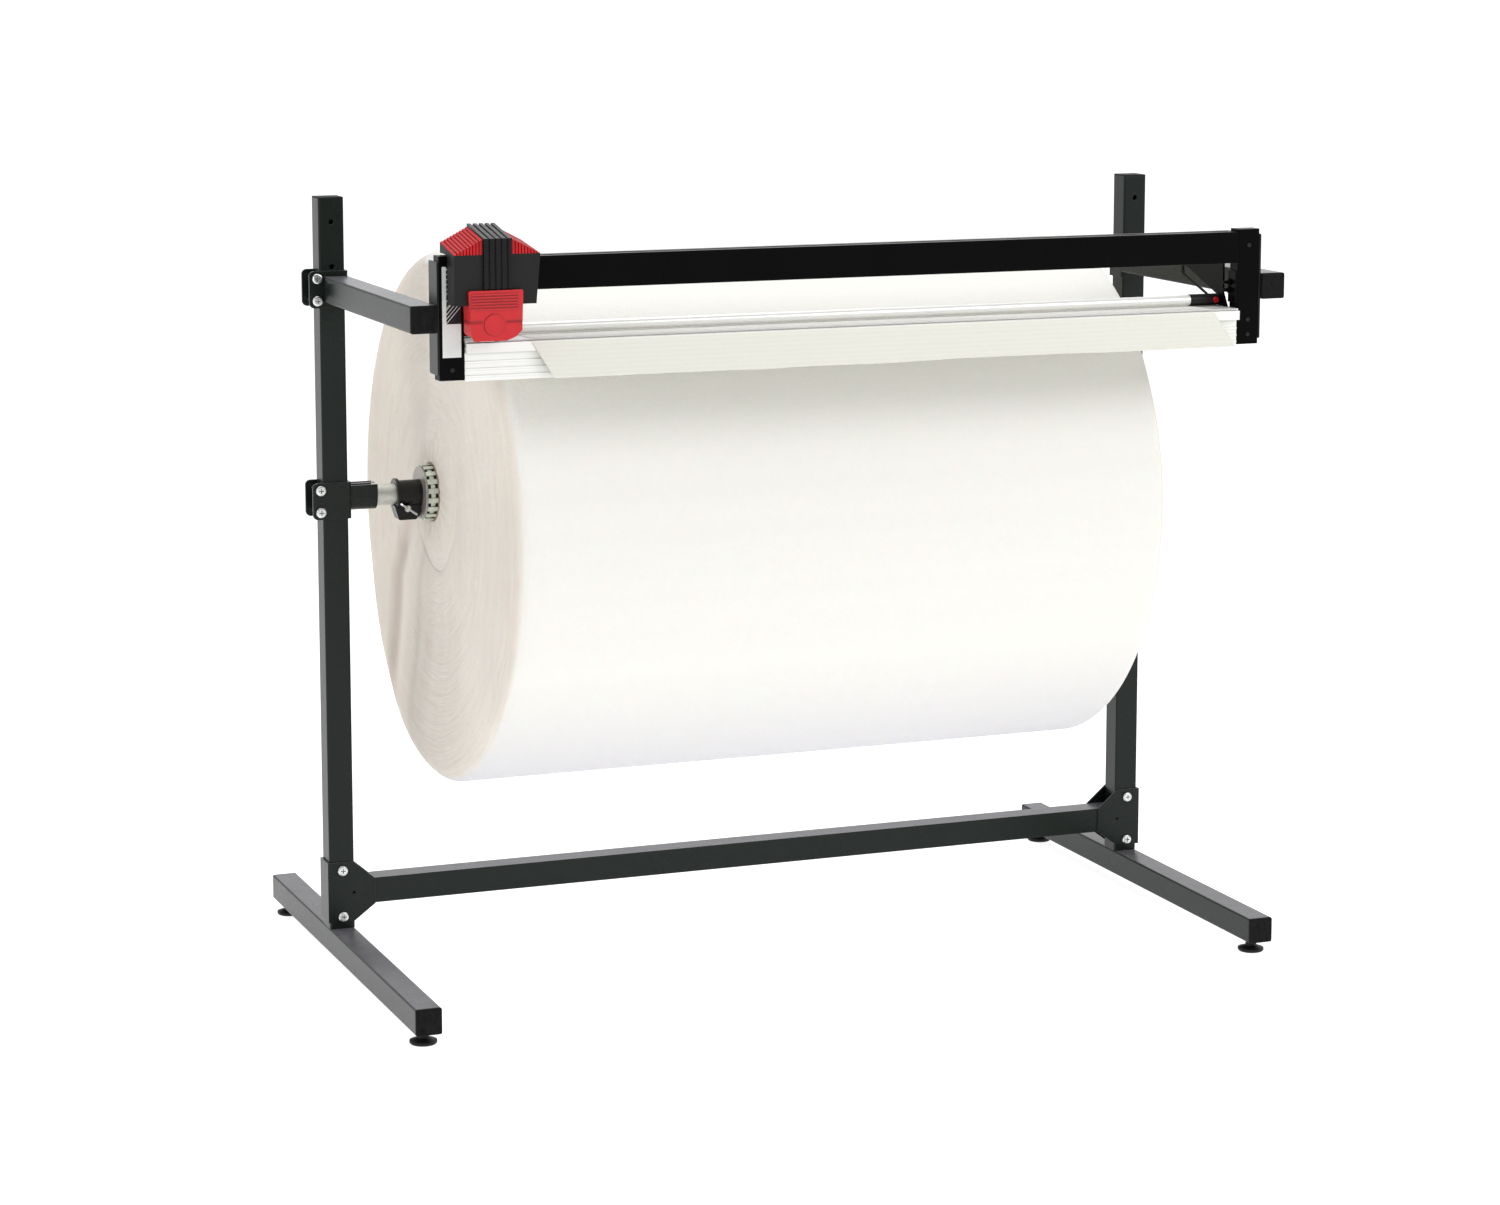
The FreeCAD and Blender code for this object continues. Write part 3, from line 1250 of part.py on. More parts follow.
def guard_outline():
    """Front view of the blade guard round the blade's centre."""
    wide, reach, slope = S.guardHalf, S.bladeRadius, S.guardSlope
    waist = S.blade_axis + S.bossRadius - S.guardWall
    corner = S.blade_axis - S.bossRadius + S.guardWall
    short = S.guardShort
    left = [(-reach, S.guard_bottom), (-short, corner), (-short, waist), (-short - S.guardFlare, S.guard_top)]
    return left + [(wide, S.guard_top), (wide - slope / 3, corner + S.guardWall),
                   (wide - slope * 2, corner - slope), (reach - slope * 2, S.guard_bottom)]


def blade_guard():
    """Red cover of the blade: ribbed shell, open behind and below, with a round boss."""
    body = new_body("blade_guard", (-S.head_place - S.bladeOffset, S.upright_y, 0))
    front, deep = -S.guard_front, -S.cut_plane - S.bladeSheet * 3
    pad(body, "XZ_Plane", front, deep, [guard_outline()])
    soften(body, S.guardWall, lambda edge: along(edge, Y_AXIS))
    wall = S.guardWall
    head_room = box_loop(-S.guardHalf, S.guardHalf, S.head_bottom - S.joinFit, S.guard_top)
    pocket(body, "XZ_Plane", -S.head_front - S.joinFit, deep, [head_room])
    pocket(body, "XZ_Plane", front + wall, deep, [guard_room(wall)])
    notch = S.hubRadius + S.joinFit
    ceiling = S.head_bottom - S.joinFit
    pocket(body, "XZ_Plane", deep - S.hubRadius - S.joinFit, deep,
           [box_loop(-notch, notch, ceiling - wall, ceiling)])
    pad(body, "XZ_Plane", front - S.bossProud, front, circles=[(0, S.blade_axis, S.bossRadius)])
    reach = S.bladeRadius + S.guardWall * 2
    first = S.guard_top - S.guardWall * 1.5
    rib = pad(body, "XZ_Plane", front - S.ribProud, front,
              [box_loop(-S.guardShort + wall / 3, reach, first - S.guardRibPitch / 2, first)])
    pattern = body.newObject("PartDesign::LinearPattern", "GuardRibs")
    pattern.Originals = [rib]
    axis = [item for item in body.Origin.OriginFeatures if item.Role == "Z_Axis"][0]
    pattern.Direction = (axis, [""])
    pattern.Reversed = True
    bind(pattern, "Length", S.guardRibPitch * (S.guardRibs - 1))
    bind(pattern, "Occurrences", S.guardRibs)
    body.Tip = pattern
    DOC.recompute()
    return body


def guard_room(wall):
    """Inside of the guard, open at the bottom."""
    half = S.bladeRadius + wall
    top = S.head_bottom - S.joinFit - wall
    return box_loop(-half, half, S.guard_bottom - wall, top)


def cutting_blade():
    """Thin round blade with bevelled edge, clamped between two hub washers."""
    sheet, edge = S.bladeSheet / 2, S.bladeSheet / 10
    bore = S.axleRadius - S.threadFit
    bevel = S.bladeRadius - S.slotWidth
    hub = sheet + S.bladeSheet * 1.5
    near = [(S.bladeRadius, edge), (bevel, sheet), (S.hubRadius, sheet), (S.hubRadius, hub), (bore, hub)]
    profile = [(radius, -height) for radius, height in reversed(near)] + near
    return revolved("cutting_blade", profile, (S.blade_x, S.cut_y, S.blade_axis), X_AXIS, 90)


def blade_axle():
    """Axle that turns with the blade in the arm's eye."""
    front = -(S.bladeSheet * 3 + S.hubRadius - S.joinFit)
    body = new_body("blade_axle", (S.blade_x, S.cut_y, S.blade_axis))
    pad(body, "XZ_Plane", front, -S.bladeSheet * 2, circles=[(0, 0, S.axleRadius)])
    pad(body, "XZ_Plane", -S.bladeSheet * 2, S.bladeSheet * 3, circles=[(0, 0, S.axleRadius - S.threadFit)])
    pad(body, "XZ_Plane", S.bladeSheet * 2, S.bladeSheet * 3, circles=[(0, 0, S.axleRadius * 1.4)])
    return body


# ---- whole model --------------------------------------------------------------------------

def build():
    fill_sheet()
    layout()
    for name, side in SIDES:
        upright(name, side)
        foot_rail(name, side)
        for end, reach in (("front", S.padInset - S.footFront), ("back", S.footBack - S.padInset)):
            levelling_foot("%s_%s_levelling_foot" % (name, end), side, S.upright_y + reach)
        arm_clamp(name, side)
        arm(name, side)
        cradle(name, side)
        end_bracket(name, side)
        side_plate(name, side)
        guide_plate(name, side)
        bar_end(name, side)
        chuck_sleeve(name, side)
        wing_screw(name, side)
        chuck_flange(name, side)
        chuck_ring(name, side)
        inner_wraps(name, side)
        grip(name, side)
    end_caps()
    crossbar()
    heights = (S.baseBoltLow, S.baseBoltHigh)
    base = [(side * S.upright_x, z) for name, side in SIDES for z in heights]
    fasteners("base", base, S.half + S.sheetFit + S.gussetSheet)
    clamps = clamp_places(S.armAxis) + clamp_places(S.cradle_axis)
    fasteners("clamp", clamps, S.half + S.sheetFit + S.clampSheet)
    for piece in (shaft, core_tube, wrap_roll, film_web, film_end, guide_beam, cutting_rail, cutting_strip,
                  front_plate, bracket_screws, mount_bolts, hold_down_bar, bar_buttons, head_body, grip_band,
                  blade_guard, cutting_blade, blade_axle):
        piece()
    DOC.recompute()


def check_and_write():
    """Refuse a failed object, then write one file for each sub-part."""
    for item in DOC.Objects:
        if "Invalid" in item.State or "Error" in item.State:
            raise RuntimeError("failed object: " + item.Label)
    for item in SUB_PARTS:
        if item.Shape.isNull() or not item.Shape.isValid() or not item.Shape.Solids:
            raise RuntimeError("bad shape: " + item.Label)
    os.makedirs("parts", exist_ok=True)
    for item in SUB_PARTS:
        item.Shape.exportStep(os.path.join("parts", item.Label + ".step"))
    print(len(SUB_PARTS), "sub-parts written")


build()
check_and_write()
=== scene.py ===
"""Gift wrap paper cutter on its floor stand: finishes, roll of film, printed plate, light and camera."""

import math

import bmesh
import bpy
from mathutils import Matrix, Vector, noise


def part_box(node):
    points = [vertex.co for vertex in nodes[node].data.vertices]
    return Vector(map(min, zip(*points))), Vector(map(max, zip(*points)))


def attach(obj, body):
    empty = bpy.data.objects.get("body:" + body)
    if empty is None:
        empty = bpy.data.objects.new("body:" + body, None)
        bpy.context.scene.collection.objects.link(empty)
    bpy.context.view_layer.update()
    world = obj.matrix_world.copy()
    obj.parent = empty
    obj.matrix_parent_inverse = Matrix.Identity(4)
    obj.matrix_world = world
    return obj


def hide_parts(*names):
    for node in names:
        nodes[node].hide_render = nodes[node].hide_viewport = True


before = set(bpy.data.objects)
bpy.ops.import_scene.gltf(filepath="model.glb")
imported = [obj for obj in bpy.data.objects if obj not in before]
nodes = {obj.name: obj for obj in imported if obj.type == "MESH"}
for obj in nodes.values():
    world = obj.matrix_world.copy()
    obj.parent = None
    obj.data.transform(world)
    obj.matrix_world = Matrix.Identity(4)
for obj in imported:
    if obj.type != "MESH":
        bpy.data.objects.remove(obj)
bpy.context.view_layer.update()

SIDES = ("left", "right")

# the shaft's axis, which the core turns on, and the slack roll's own axis below it
shaft_low, shaft_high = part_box("roll_shaft")
AXIS_Y = (shaft_low.y + shaft_high.y) / 2
AXIS_Z = (shaft_low.z + shaft_high.z) / 2
roll_low, roll_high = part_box("wrap_roll")
ROLL_Z = (roll_low.z + roll_high.z) / 2
ROLL_RADIUS = (roll_high.z - roll_low.z) / 2

# the blade's own axis, and how thick it is along the film
blade_low, blade_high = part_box("cutting_blade")
BLADE_X = (blade_low.x + blade_high.x) / 2
BLADE_Y = (blade_low.y + blade_high.y) / 2
BLADE_Z = (blade_low.z + blade_high.z) / 2
BLADE_THICK = blade_high.y - blade_low.y

# the crease that hangs down each end of the roll from the chuck: how far back it lies,
# how far forward it leans at the top, and between which heights it bends
CREASE_Y = 0.220
CREASE_LEAN = 0.062
CREASE_BEND = (0.58, 0.68)


# ---- shader maths -------------------------------------------------------------------------

class Wire:
    """One output of a shader node; arithmetic on it adds Math nodes."""

    def __init__(self, finish, socket):
        self.finish = finish
        self.socket = socket

    def maths(self, operation, *values):
        return self.finish.add("ShaderNodeMath", {"operation": operation}, dict(enumerate(values)))

    def __add__(self, other):
        return self.maths("ADD", self, other)

    def __radd__(self, other):
        return self.maths("ADD", other, self)

    def __sub__(self, other):
        return self.maths("SUBTRACT", self, other)

    def __rsub__(self, other):
        return self.maths("SUBTRACT", other, self)

    def __mul__(self, other):
        return self.maths("MULTIPLY", self, other)

    def __rmul__(self, other):
        return self.maths("MULTIPLY", other, self)

    def __truediv__(self, other):
        return self.maths("DIVIDE", self, other)

    def __gt__(self, other):
        return self.maths("GREATER_THAN", self, other)

    def __lt__(self, other):
        return self.maths("LESS_THAN", self, other)

    def root(self):
        return self.maths("SQRT", self)

    def share(self):
        return self.maths("FRACT", self)

    def size(self):
        return self.maths("ABSOLUTE", self)

    def most(self, other):
        return self.maths("MAXIMUM", self, other)


class Shading:
    """A shader tree whose nodes all come from one method."""

    def __init__(self, owner):
        owner.use_nodes = True
        self.tree = owner.node_tree
        self.tree.nodes.clear()

    def add(self, kind, settings=None, values=None, out=0):
        """Adds a node with its settings and its sockets' values or links, and gives one of its outputs."""
        node = self.tree.nodes.new(kind)
        for key, value in (settings or {}).items():
            if key == "stops":
                self.set_stops(node.color_ramp, value)
            else:
                setattr(node, key, value)
        for key, value in (values or {}).items():
            if isinstance(value, Wire):
                self.tree.links.new(value.socket, node.inputs[key])
            else:
                node.inputs[key].default_value = value
        return Wire(self, node.outputs[out]) if node.outputs else None

    def set_stops(self, ramp, stops):
        while len(ramp.elements) < len(stops):
            ramp.elements.new(0.5)
        for element, (place, grey) in zip(ramp.elements, stops):
            element.position = place
            element.color = (grey, grey, grey, 1)

    def ramp(self, value, *stops):
        """A grey curve through (place, height) stops."""
        return self.add("ShaderNodeValToRGB", {"stops": stops}, {0: value})


class Finish(Shading):
    """A material for one kind of surface: a Principled shader and what varies over it."""

    def __init__(self, name):
        self.material = bpy.data.materials.new(name)
        super().__init__(self.material)
        self.spot = self.add("ShaderNodeTexCoord", out="Object")

    def stretched(self, scale, spot=None):
        """The surface's place in metres, scaled by a number for each axis."""
        return self.add("ShaderNodeVectorMath", {"operation": "MULTIPLY"}, {0: spot or self.spot, 1: scale})

    def cloud(self, scale, detail=3.0, roughness=0.5, spot=None):
        """Smooth noise from 0 to 1; scale is swings per metre, one number or one for each axis."""
        each = scale if isinstance(scale, tuple) else (scale,) * 3
        place = self.stretched(each, spot)
        values = {"Vector": place, "Scale": 1.0, "Detail": detail, "Roughness": roughness}
        return self.add("ShaderNodeTexNoise", {}, values)

    def cells(self, scale):
        """Round cells, scale of them along a metre."""
        return self.add("ShaderNodeTexVoronoi", {}, {"Vector": self.stretched((scale,) * 3), "Scale": 1.0})

    def paint(self, colour):
        return colour if isinstance(colour, Wire) else (*colour, 1.0)

    def mix(self, share, first, second):
        """A colour between two colours."""
        values = {0: share, 6: self.paint(first), 7: self.paint(second)}
        return self.add("ShaderNodeMix", {"data_type": "RGBA"}, values, out=2)

    def layers(self, base, *coats):
        """A colour with (share, colour) coats laid over it in turn."""
        for share, colour in coats:
            base = self.mix(share, base, colour)
        return base

    def along(self, axis):
        """One coordinate of the surface's place, in metres."""
        return self.add("ShaderNodeSeparateXYZ", {}, {0: self.spot}, out=axis)

    def facing(self, axis):
        """How far the surface faces along an axis, from -1 to 1."""
        normal = self.add("ShaderNodeNewGeometry", out="Normal")
        return self.add("ShaderNodeSeparateXYZ", {}, {0: normal}, out=axis)

    def rounded(self, radius):
        """A normal that rounds sharp edges over."""
        return self.add("ShaderNodeBevel", {"samples": 8}, {"Radius": radius})

    def edges(self, radius):
        """0 on flat faces, rising towards 1 on sharp edges."""
        plain = self.add("ShaderNodeNewGeometry", out="Normal")
        turned = {0: plain, 1: self.rounded(radius)}
        together = self.add("ShaderNodeVectorMath", {"operation": "DOT_PRODUCT"}, turned, out="Value")
        return self.ramp(1 - together, (0.0, 0.0), (0.18, 1.0))

    def open_sky(self, reach):
        """1 where the surface is open, falling to 0 in holes and corners narrower than reach."""
        return self.add("ShaderNodeAmbientOcclusion", {"samples": 12}, {"Distance": reach}, out="AO")

    def relief(self, height, depth, over=None):
        """A normal from a height; depth is how deep its full swing is, in metres."""
        values = {"Height": height, "Distance": depth}
        if over is not None:
            values["Normal"] = over
        return self.add("ShaderNodeBump", {}, values)

    def shade(self, colour, roughness, normal=None, metallic=0.0, **constants):
        """Ends the material. Constants go on the shader's own sockets."""
        values = {"Base Color": self.paint(colour), "Roughness": roughness, "Metallic": metallic}
        if normal is not None:
            values["Normal"] = normal
        for key, value in constants.items():
            values[key.replace("_", " ").title().replace("Ior", "IOR")] = value
        shader = self.add("ShaderNodeBsdfPrincipled", {}, values)
        self.add("ShaderNodeOutputMaterial", {}, {"Surface": shader})
        return self.material


# ---- finishes -----------------------------------------------------------------------------

def stand_paint():
    """Dark green-grey powder coat: fine orange peel, thin at the edges, and on its upper faces a little dust
    together with a painted bluish sheen of the light from above.
    """
    f = Finish("stand_powder_coat")
    speckle = f.cloud(900.0, 2.0)
    patches = f.cloud(9.0, 4.0)
    scuffs = f.ramp(f.cloud((60.0, 60.0, 22.0), 6.0, 0.7), (0.60, 0.0), (0.72, 1.0))
    worn = f.edges(0.0012) * f.ramp(f.cloud(55.0, 4.0), (0.40, 0.15), (0.62, 0.75))
    upward = f.ramp(f.facing("Z"), (0.7, 0.0), (0.95, 1.0))
    # dust and painted sheen: upper faces lightened towards pale bluish grey, partly dust and partly a painted
    # reflection of the light from above
    top_dust_and_sheen = upward * f.ramp(f.cloud(35.0, 5.0), (0.25, 0.75), (0.75, 1.0))
    base = f.layers(
        f.mix(patches, (0.0062, 0.0098, 0.0078), (0.0088, 0.0130, 0.0106)),
        (speckle * 0.2, (0.018, 0.023, 0.020)),
        (worn * 0.6, (0.070, 0.077, 0.072)),
        # dust and painted bluish sheen on the upper faces
        (top_dust_and_sheen * 0.38, (0.34, 0.33, 0.37)))
    rough = 0.25 + 0.06 * patches + 0.10 * scuffs
    peel = f.relief(f.cloud(240.0, 2.0), 0.00012, f.rounded(0.0012))
    return f.shade(base, rough, f.relief(speckle, 0.00008, peel), specular_ior_level=0.20)


def cutter_paint():
    """Near-black gloss enamel of the cutter's beam and brackets."""
    f = Finish("cutter_black_enamel")
    patches = f.cloud(14.0, 3.0)
    worn = f.edges(0.0010) * f.ramp(f.cloud(80.0, 4.0), (0.42, 0.1), (0.60, 0.8))
    base = f.layers(
        f.mix(patches, (0.0011, 0.0011, 0.0013), (0.0024, 0.0024, 0.0027)),
        (worn * 0.45, (0.060, 0.060, 0.062)))
    rubbed = f.ramp(f.cloud((30.0, 160.0, 160.0), 6.0), (0.5, 0.0), (0.7, 1.0))
    rough = 0.24 + 0.10 * patches + 0.05 * rubbed
    normal = f.relief(f.cloud(420.0, 2.0), 0.00010, f.rounded(0.0010))
    return f.shade(base, rough, normal, specular_ior_level=0.05)


def cap_plastic():
    """Grey-black moulded tube plugs: mottled faces with a paler rim."""
    f = Finish("tube_plug_moulding")
    mottle = f.cloud((150.0, 150.0, 75.0), 5.0, 0.65)
    grain = f.cloud(1400.0, 2.0)
    blotches = f.ramp(mottle, (0.35, 0.0), (0.65, 1.0))
    base = f.layers(
        f.mix(blotches, (0.0022, 0.0021, 0.0023), (0.0100, 0.0094, 0.0102)),
        (f.edges(0.0030) * 0.4, (0.040, 0.039, 0.041)))
    normal = f.relief(grain + mottle * 0.6, 0.00018, f.rounded(0.0010))
    return f.shade(base, 0.46 + 0.16 * mottle, normal, specular_ior_level=0.10)


def bright_zinc():
    """Bright zinc plating of bolts, nuts and wing screws: cloudy, with painted shade in its hollows."""
    f = Finish("bright_zinc_plating")
    clouds = f.cloud(170.0, 5.0, 0.65)
    scratch = f.cloud((500.0, 1900.0, 1900.0), 3.0)
    # painted shade: near black where the surface is hemmed in, in cross heads and holes
    recess_shade = f.ramp(f.open_sky(0.0030), (0.45, 1.0), (0.85, 0.0))
    base = f.layers(
        f.mix(f.ramp(clouds, (0.35, 0.0), (0.68, 1.0)), (0.56, 0.58, 0.60), (0.86, 0.87, 0.84)),
        (f.edges(0.0005) * 0.6, (0.95, 0.95, 0.94)),
        (recess_shade * 0.9, (0.035, 0.036, 0.038)))
    rough = 0.18 + 0.20 * clouds + 0.06 * scratch
    return f.shade(base, rough, f.relief(scratch, 0.00003, f.rounded(0.0006)), metallic=1.0)


def galvanised():
    """Dull spangled zinc of the pipe, with lengthwise draw marks."""
    f = Finish("galvanised_pipe")
    drawn = f.cloud((14.0, 900.0, 900.0), 4.0, 0.65)
    grain = f.cloud(1100.0, 3.0)
    base = f.layers(
        f.mix(f.cells(190.0), (0.50, 0.50, 0.47), (0.66, 0.66, 0.62)),
        (f.ramp(drawn, (0.40, 0.0), (0.65, 0.7)), (0.40, 0.40, 0.38)),
        (grain * 0.35, (0.80, 0.80, 0.76)))
    normal = f.relief(drawn + grain * 0.6, 0.00010)
    return f.shade(base, 0.46 + 0.14 * drawn, normal, metallic=0.80)


def chuck_metal(name, first, second):
    """Cast chuck metal under thin zinc: milky, with painted shade in the gaps between the ring's teeth and
    other narrow hollows, and a painted highlight along its edges.
    """
    f = Finish(name)
    clouds = f.cloud(120.0, 5.0, 0.7)
    grain = f.cloud(900.0, 3.0)
    # painted shade: near black in the gaps between the ring's teeth and other narrow hollows
    notch_shade = f.ramp(f.open_sky(0.012), (0.28, 1.0), (0.62, 0.0))
    base = f.layers(
        f.mix(f.ramp(clouds, (0.32, 0.0), (0.70, 1.0)), first, second),
        # painted highlight: a pale line along sharp edges, the bright rim of the disc
        (f.edges(0.0007) * 0.55, (0.90, 0.92, 0.88)),
        (notch_shade * 0.96, (0.010, 0.012, 0.011)))
    normal = f.relief(grain + clouds * 0.5, 0.00010, f.rounded(0.0007))
    return f.shade(base, 0.34 + 0.18 * clouds, normal, metallic=0.65)


def rail_aluminium(name, shadow):
    """Natural anodised extrusion with die lines along its length; shadow is how dark the painted shade in its
    hollows and under its lip gets.
    """
    f = Finish(name)
    lines = f.cloud((1.5, 1500.0, 1500.0), 3.0, 0.6)
    wide = f.cloud((0.6, 160.0, 160.0), 2.0)
    # painted shade in hollows and under the lip, as dark as the shadow argument sets
    groove_shade = f.ramp(f.open_sky(0.009), (0.35, 1.0), (0.78, 0.0))
    base = f.layers(
        f.mix(lines, (0.84, 0.84, 0.81), (0.94, 0.94, 0.92)),
        (groove_shade * shadow, (0.16, 0.16, 0.15)))
    normal = f.relief(lines, 0.00005, f.rounded(0.0005))
    return f.shade(base, 0.34 + 0.12 * wide, normal, metallic=0.45)


def black_plastic():
    """Moulded black plastic with a fine spark-eroded grain."""
    f = Finish("black_moulding")
    grain = f.cloud(1500.0, 2.0)
    patches = f.cloud(45.0, 4.0)
    pale = f.edges(0.0009) * f.ramp(f.cloud(150.0, 3.0), (0.35, 0.2), (0.65, 0.9))
    base = f.layers(
        f.mix(patches, (0.0085, 0.0085, 0.0088), (0.0150, 0.0148, 0.0148)),
        (pale * 0.4, (0.075, 0.075, 0.075)))
    rough = 0.36 + 0.14 * patches + 0.08 * grain
    return f.shade(base, rough, f.relief(grain, 0.00010, f.rounded(0.0009)), specular_ior_level=0.20)


def gloss_plastic():
    """Glossy black moulding of the chuck sleeves."""
    f = Finish("chuck_sleeve_moulding")
    flow = f.cloud((40.0, 130.0, 130.0), 4.0, 0.6)
    base = f.layers(
        f.mix(flow, (0.0016, 0.0016, 0.0018), (0.0040, 0.0040, 0.0044)),
        (f.edges(0.0010) * 0.3, (0.060, 0.060, 0.062)))
    normal = f.relief(flow, 0.00020, f.rounded(0.0012))
    return f.shade(base, 0.17 + 0.12 * flow, normal, specular_ior_level=0.32)


def red_plastic(name, stepped, gloss):
    """Red moulding of grips, guard and plugs, scuffed on its ridges, with painted shade in its hollows;
    stepped adds the guard's step line.
    """
    f = Finish(name)
    heights = f.cloud(1300.0, 2.0)
    patches = f.cloud(60.0, 4.0)
    scuff = f.edges(0.0008) * f.ramp(f.cloud(120.0, 4.0), (0.40, 0.2), (0.65, 1.0))
    # painted shade: near black in the guard's ribs and other hollows
    groove_shade = f.ramp(f.open_sky(0.0045), (0.45, 1.0), (0.85, 0.0))
    base = f.layers(
        f.mix(patches, (0.50, 0.012, 0.017), (0.60, 0.019, 0.024)),
        (scuff * 0.35, (0.78, 0.13, 0.13)),
        (groove_shade * 0.9, (0.10, 0.0015, 0.0025)))
    if stepped:
        boss_reach, step_rise = 0.0175, 0.0045
        beside_boss = (f.along("X") - BLADE_X).size() > boss_reach
        near_step = f.ramp((f.along("Z") - BLADE_Z - step_rise).size(), (0.0004, 1.0), (0.0010, 0.0))
        line = near_step * beside_boss
        base = f.mix(line * 0.75, base, (0.16, 0.003, 0.005))
        heights = heights - line * 4.0
    normal = f.relief(heights, 0.00008, f.rounded(0.0008))
    return f.shade(base, 0.36 + 0.14 * patches, normal, specular_ior_level=gloss)


def band_rubber():
    """Soft black rubber, dull, with faint dust and painted shade between its ribs."""
    f = Finish("band_rubber")
    dust = f.ramp(f.cloud(90.0, 6.0, 0.7), (0.45, 0.0), (0.75, 1.0))
    # painted shade between the band's ribs
    groove_shade = f.ramp(f.open_sky(0.008), (0.30, 1.0), (0.80, 0.0))
    base = f.layers(
        f.mix(dust * 0.12, (0.0022, 0.0022, 0.0024), (0.024, 0.024, 0.025)),
        (groove_shade * 0.9, (0.0006, 0.0006, 0.0006)))
    normal = f.relief(f.cloud(1100.0, 3.0), 0.00008, f.rounded(0.0015))
    return f.shade(base, 0.20 + 0.20 * dust, normal, specular_ior_level=0.26)


def blade_steel():
    """Ground steel disc, with fine turning marks round its axle."""
    f = Finish("ground_blade_steel")
    dx = f.along("X") - BLADE_X
    dz = f.along("Z") - BLADE_Z
    radius = (dx * dx + dz * dz).root()
    turned = f.add("ShaderNodeCombineXYZ", {}, {0: radius * 2600.0, 1: dx * 12.0, 2: dz * 12.0})
    marks = f.cloud(1.0, 2.0, spot=turned)
    base = f.mix(marks, (0.62, 0.63, 0.65), (0.80, 0.81, 0.82))
    return f.shade(base, 0.20 + 0.12 * marks, f.relief(marks, 0.00003, f.rounded(0.0003)), metallic=1.0)


def core_board():
    """Grey-brown wound paper board with its spiral butt line."""
    f = Finish("core_board")
    spiral_pitch = 0.11
    dy = f.along("Y") - AXIS_Y
    dz = f.along("Z") - AXIS_Z
    angle = f.add("ShaderNodeMath", {"operation": "ARCTAN2"}, {0: dz, 1: dy}) / (2 * math.pi)
    spiral = (f.along("X") / spiral_pitch + angle).share()
    line = f.ramp((spiral - 0.5).size(), (0.0, 1.0), (0.03, 0.0))
    fibres = f.cloud((160.0, 600.0, 600.0), 5.0, 0.7)
    base = f.layers(
        f.mix(fibres, (0.30, 0.22, 0.15), (0.47, 0.36, 0.26)),
        (line * 0.7, (0.16, 0.11, 0.075)))
    normal = f.relief(fibres - line * 0.8, 0.0002)
    return f.shade(base, 0.78 + 0.1 * fibres, normal, specular_ior_level=0.25)


def cutting_strip():
    """Dark grey self-healing strip under the blade, scored along the cut line."""
    f = Finish("cutting_strip")
    scores = f.ramp(f.cloud((8.0, 2600.0, 2600.0), 3.0), (0.52, 0.0), (0.60, 1.0))
    grain = f.cloud(700.0, 3.0)
    base = f.layers(
        f.mix(grain, (0.055, 0.055, 0.058), (0.085, 0.085, 0.09)),
        (scores * 0.5, (0.02, 0.02, 0.02)))
    return f.shade(base, 0.55 + 0.2 * grain, f.relief(grain - scores, 0.0001))


def printed_plate():
    """Black front plate: bare white field, pale edge strip, short ticks and slanted hatching."""
    f = Finish("printed_front_plate")
    corner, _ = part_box("front_plate")
    # millimetres from the plate's lower left corner; slanted is a height that falls away to the right
    strip_width, slope = 6.0, 1.1
    across = (f.along("X") - corner.x) * 1000.0
    up = (f.along("Z") - corner.z) * 1000.0
    slanted = up - slope * (across - strip_width)

    def within(height, low, high):
        return (height > low) * (height < high)

    def rules(height, start, pitch, share):
        """Lines one pitch apart, each a share of the pitch wide."""
        return ((height - start) / pitch).share() < share

    white = across < strip_width
    marks = (
        (up < 48.0) * (across < 27.6),
        rules(up, 97.0, 7.2, 0.16) * (up > 96.5) * (across < 12.0),
        within(up, 125.2, 126.6) * (across < 21.0),
        rules(slanted, 59.5, 10.0, 0.13) * within(slanted, 61.0, 93.0) * (across < 11.5),
        rules(slanted, 48.3, 6.2, 0.22) * within(slanted, 47.5, 68.0) * (up < 76.0) * (across < 26.5))
    for mark in marks:
        white = white.most(mark)

    rubbed = f.cloud(260.0, 4.0)
    ink = f.mix(rubbed, (0.006, 0.006, 0.0065), (0.014, 0.014, 0.0145))
    pale = f.mix(rubbed, (0.70, 0.72, 0.70), (0.80, 0.82, 0.80))
    normal = f.relief(rubbed + white * 0.3, 0.00005)
    return f.shade(f.mix(white, ink, pale), 0.34 + 0.15 * rubbed, normal, specular_ior_level=0.3)


def film_base(name):
    """Soft off-white packing foam with fine cells and faint bands: its finish, colour, heights and mottle."""
    f = Finish(name)
    soft = f.cloud(120.0, 4.0, 0.6)
    bands = f.cloud((0.35, 26.0, 26.0), 3.0)
    base = f.layers(
        f.mix(bands, (0.820, 0.808, 0.768), (0.855, 0.845, 0.808)),
        (f.ramp(soft, (0.35, 0.0), (0.75, 1.0)) * 0.3, (0.81, 0.80, 0.76)))
    return f, base, f.cells(420.0) * 0.5 + soft, soft


def film_shade(f, base, heights, soft, glow):
    """Ends a film's material; glow is how much of its light spreads inside it."""
    return f.shade(base, 0.62 + 0.15 * soft, f.relief(heights, 0.0006), specular_ior_level=0.25,
                   subsurface_weight=glow, subsurface_scale=0.004, sheen_weight=0.15)


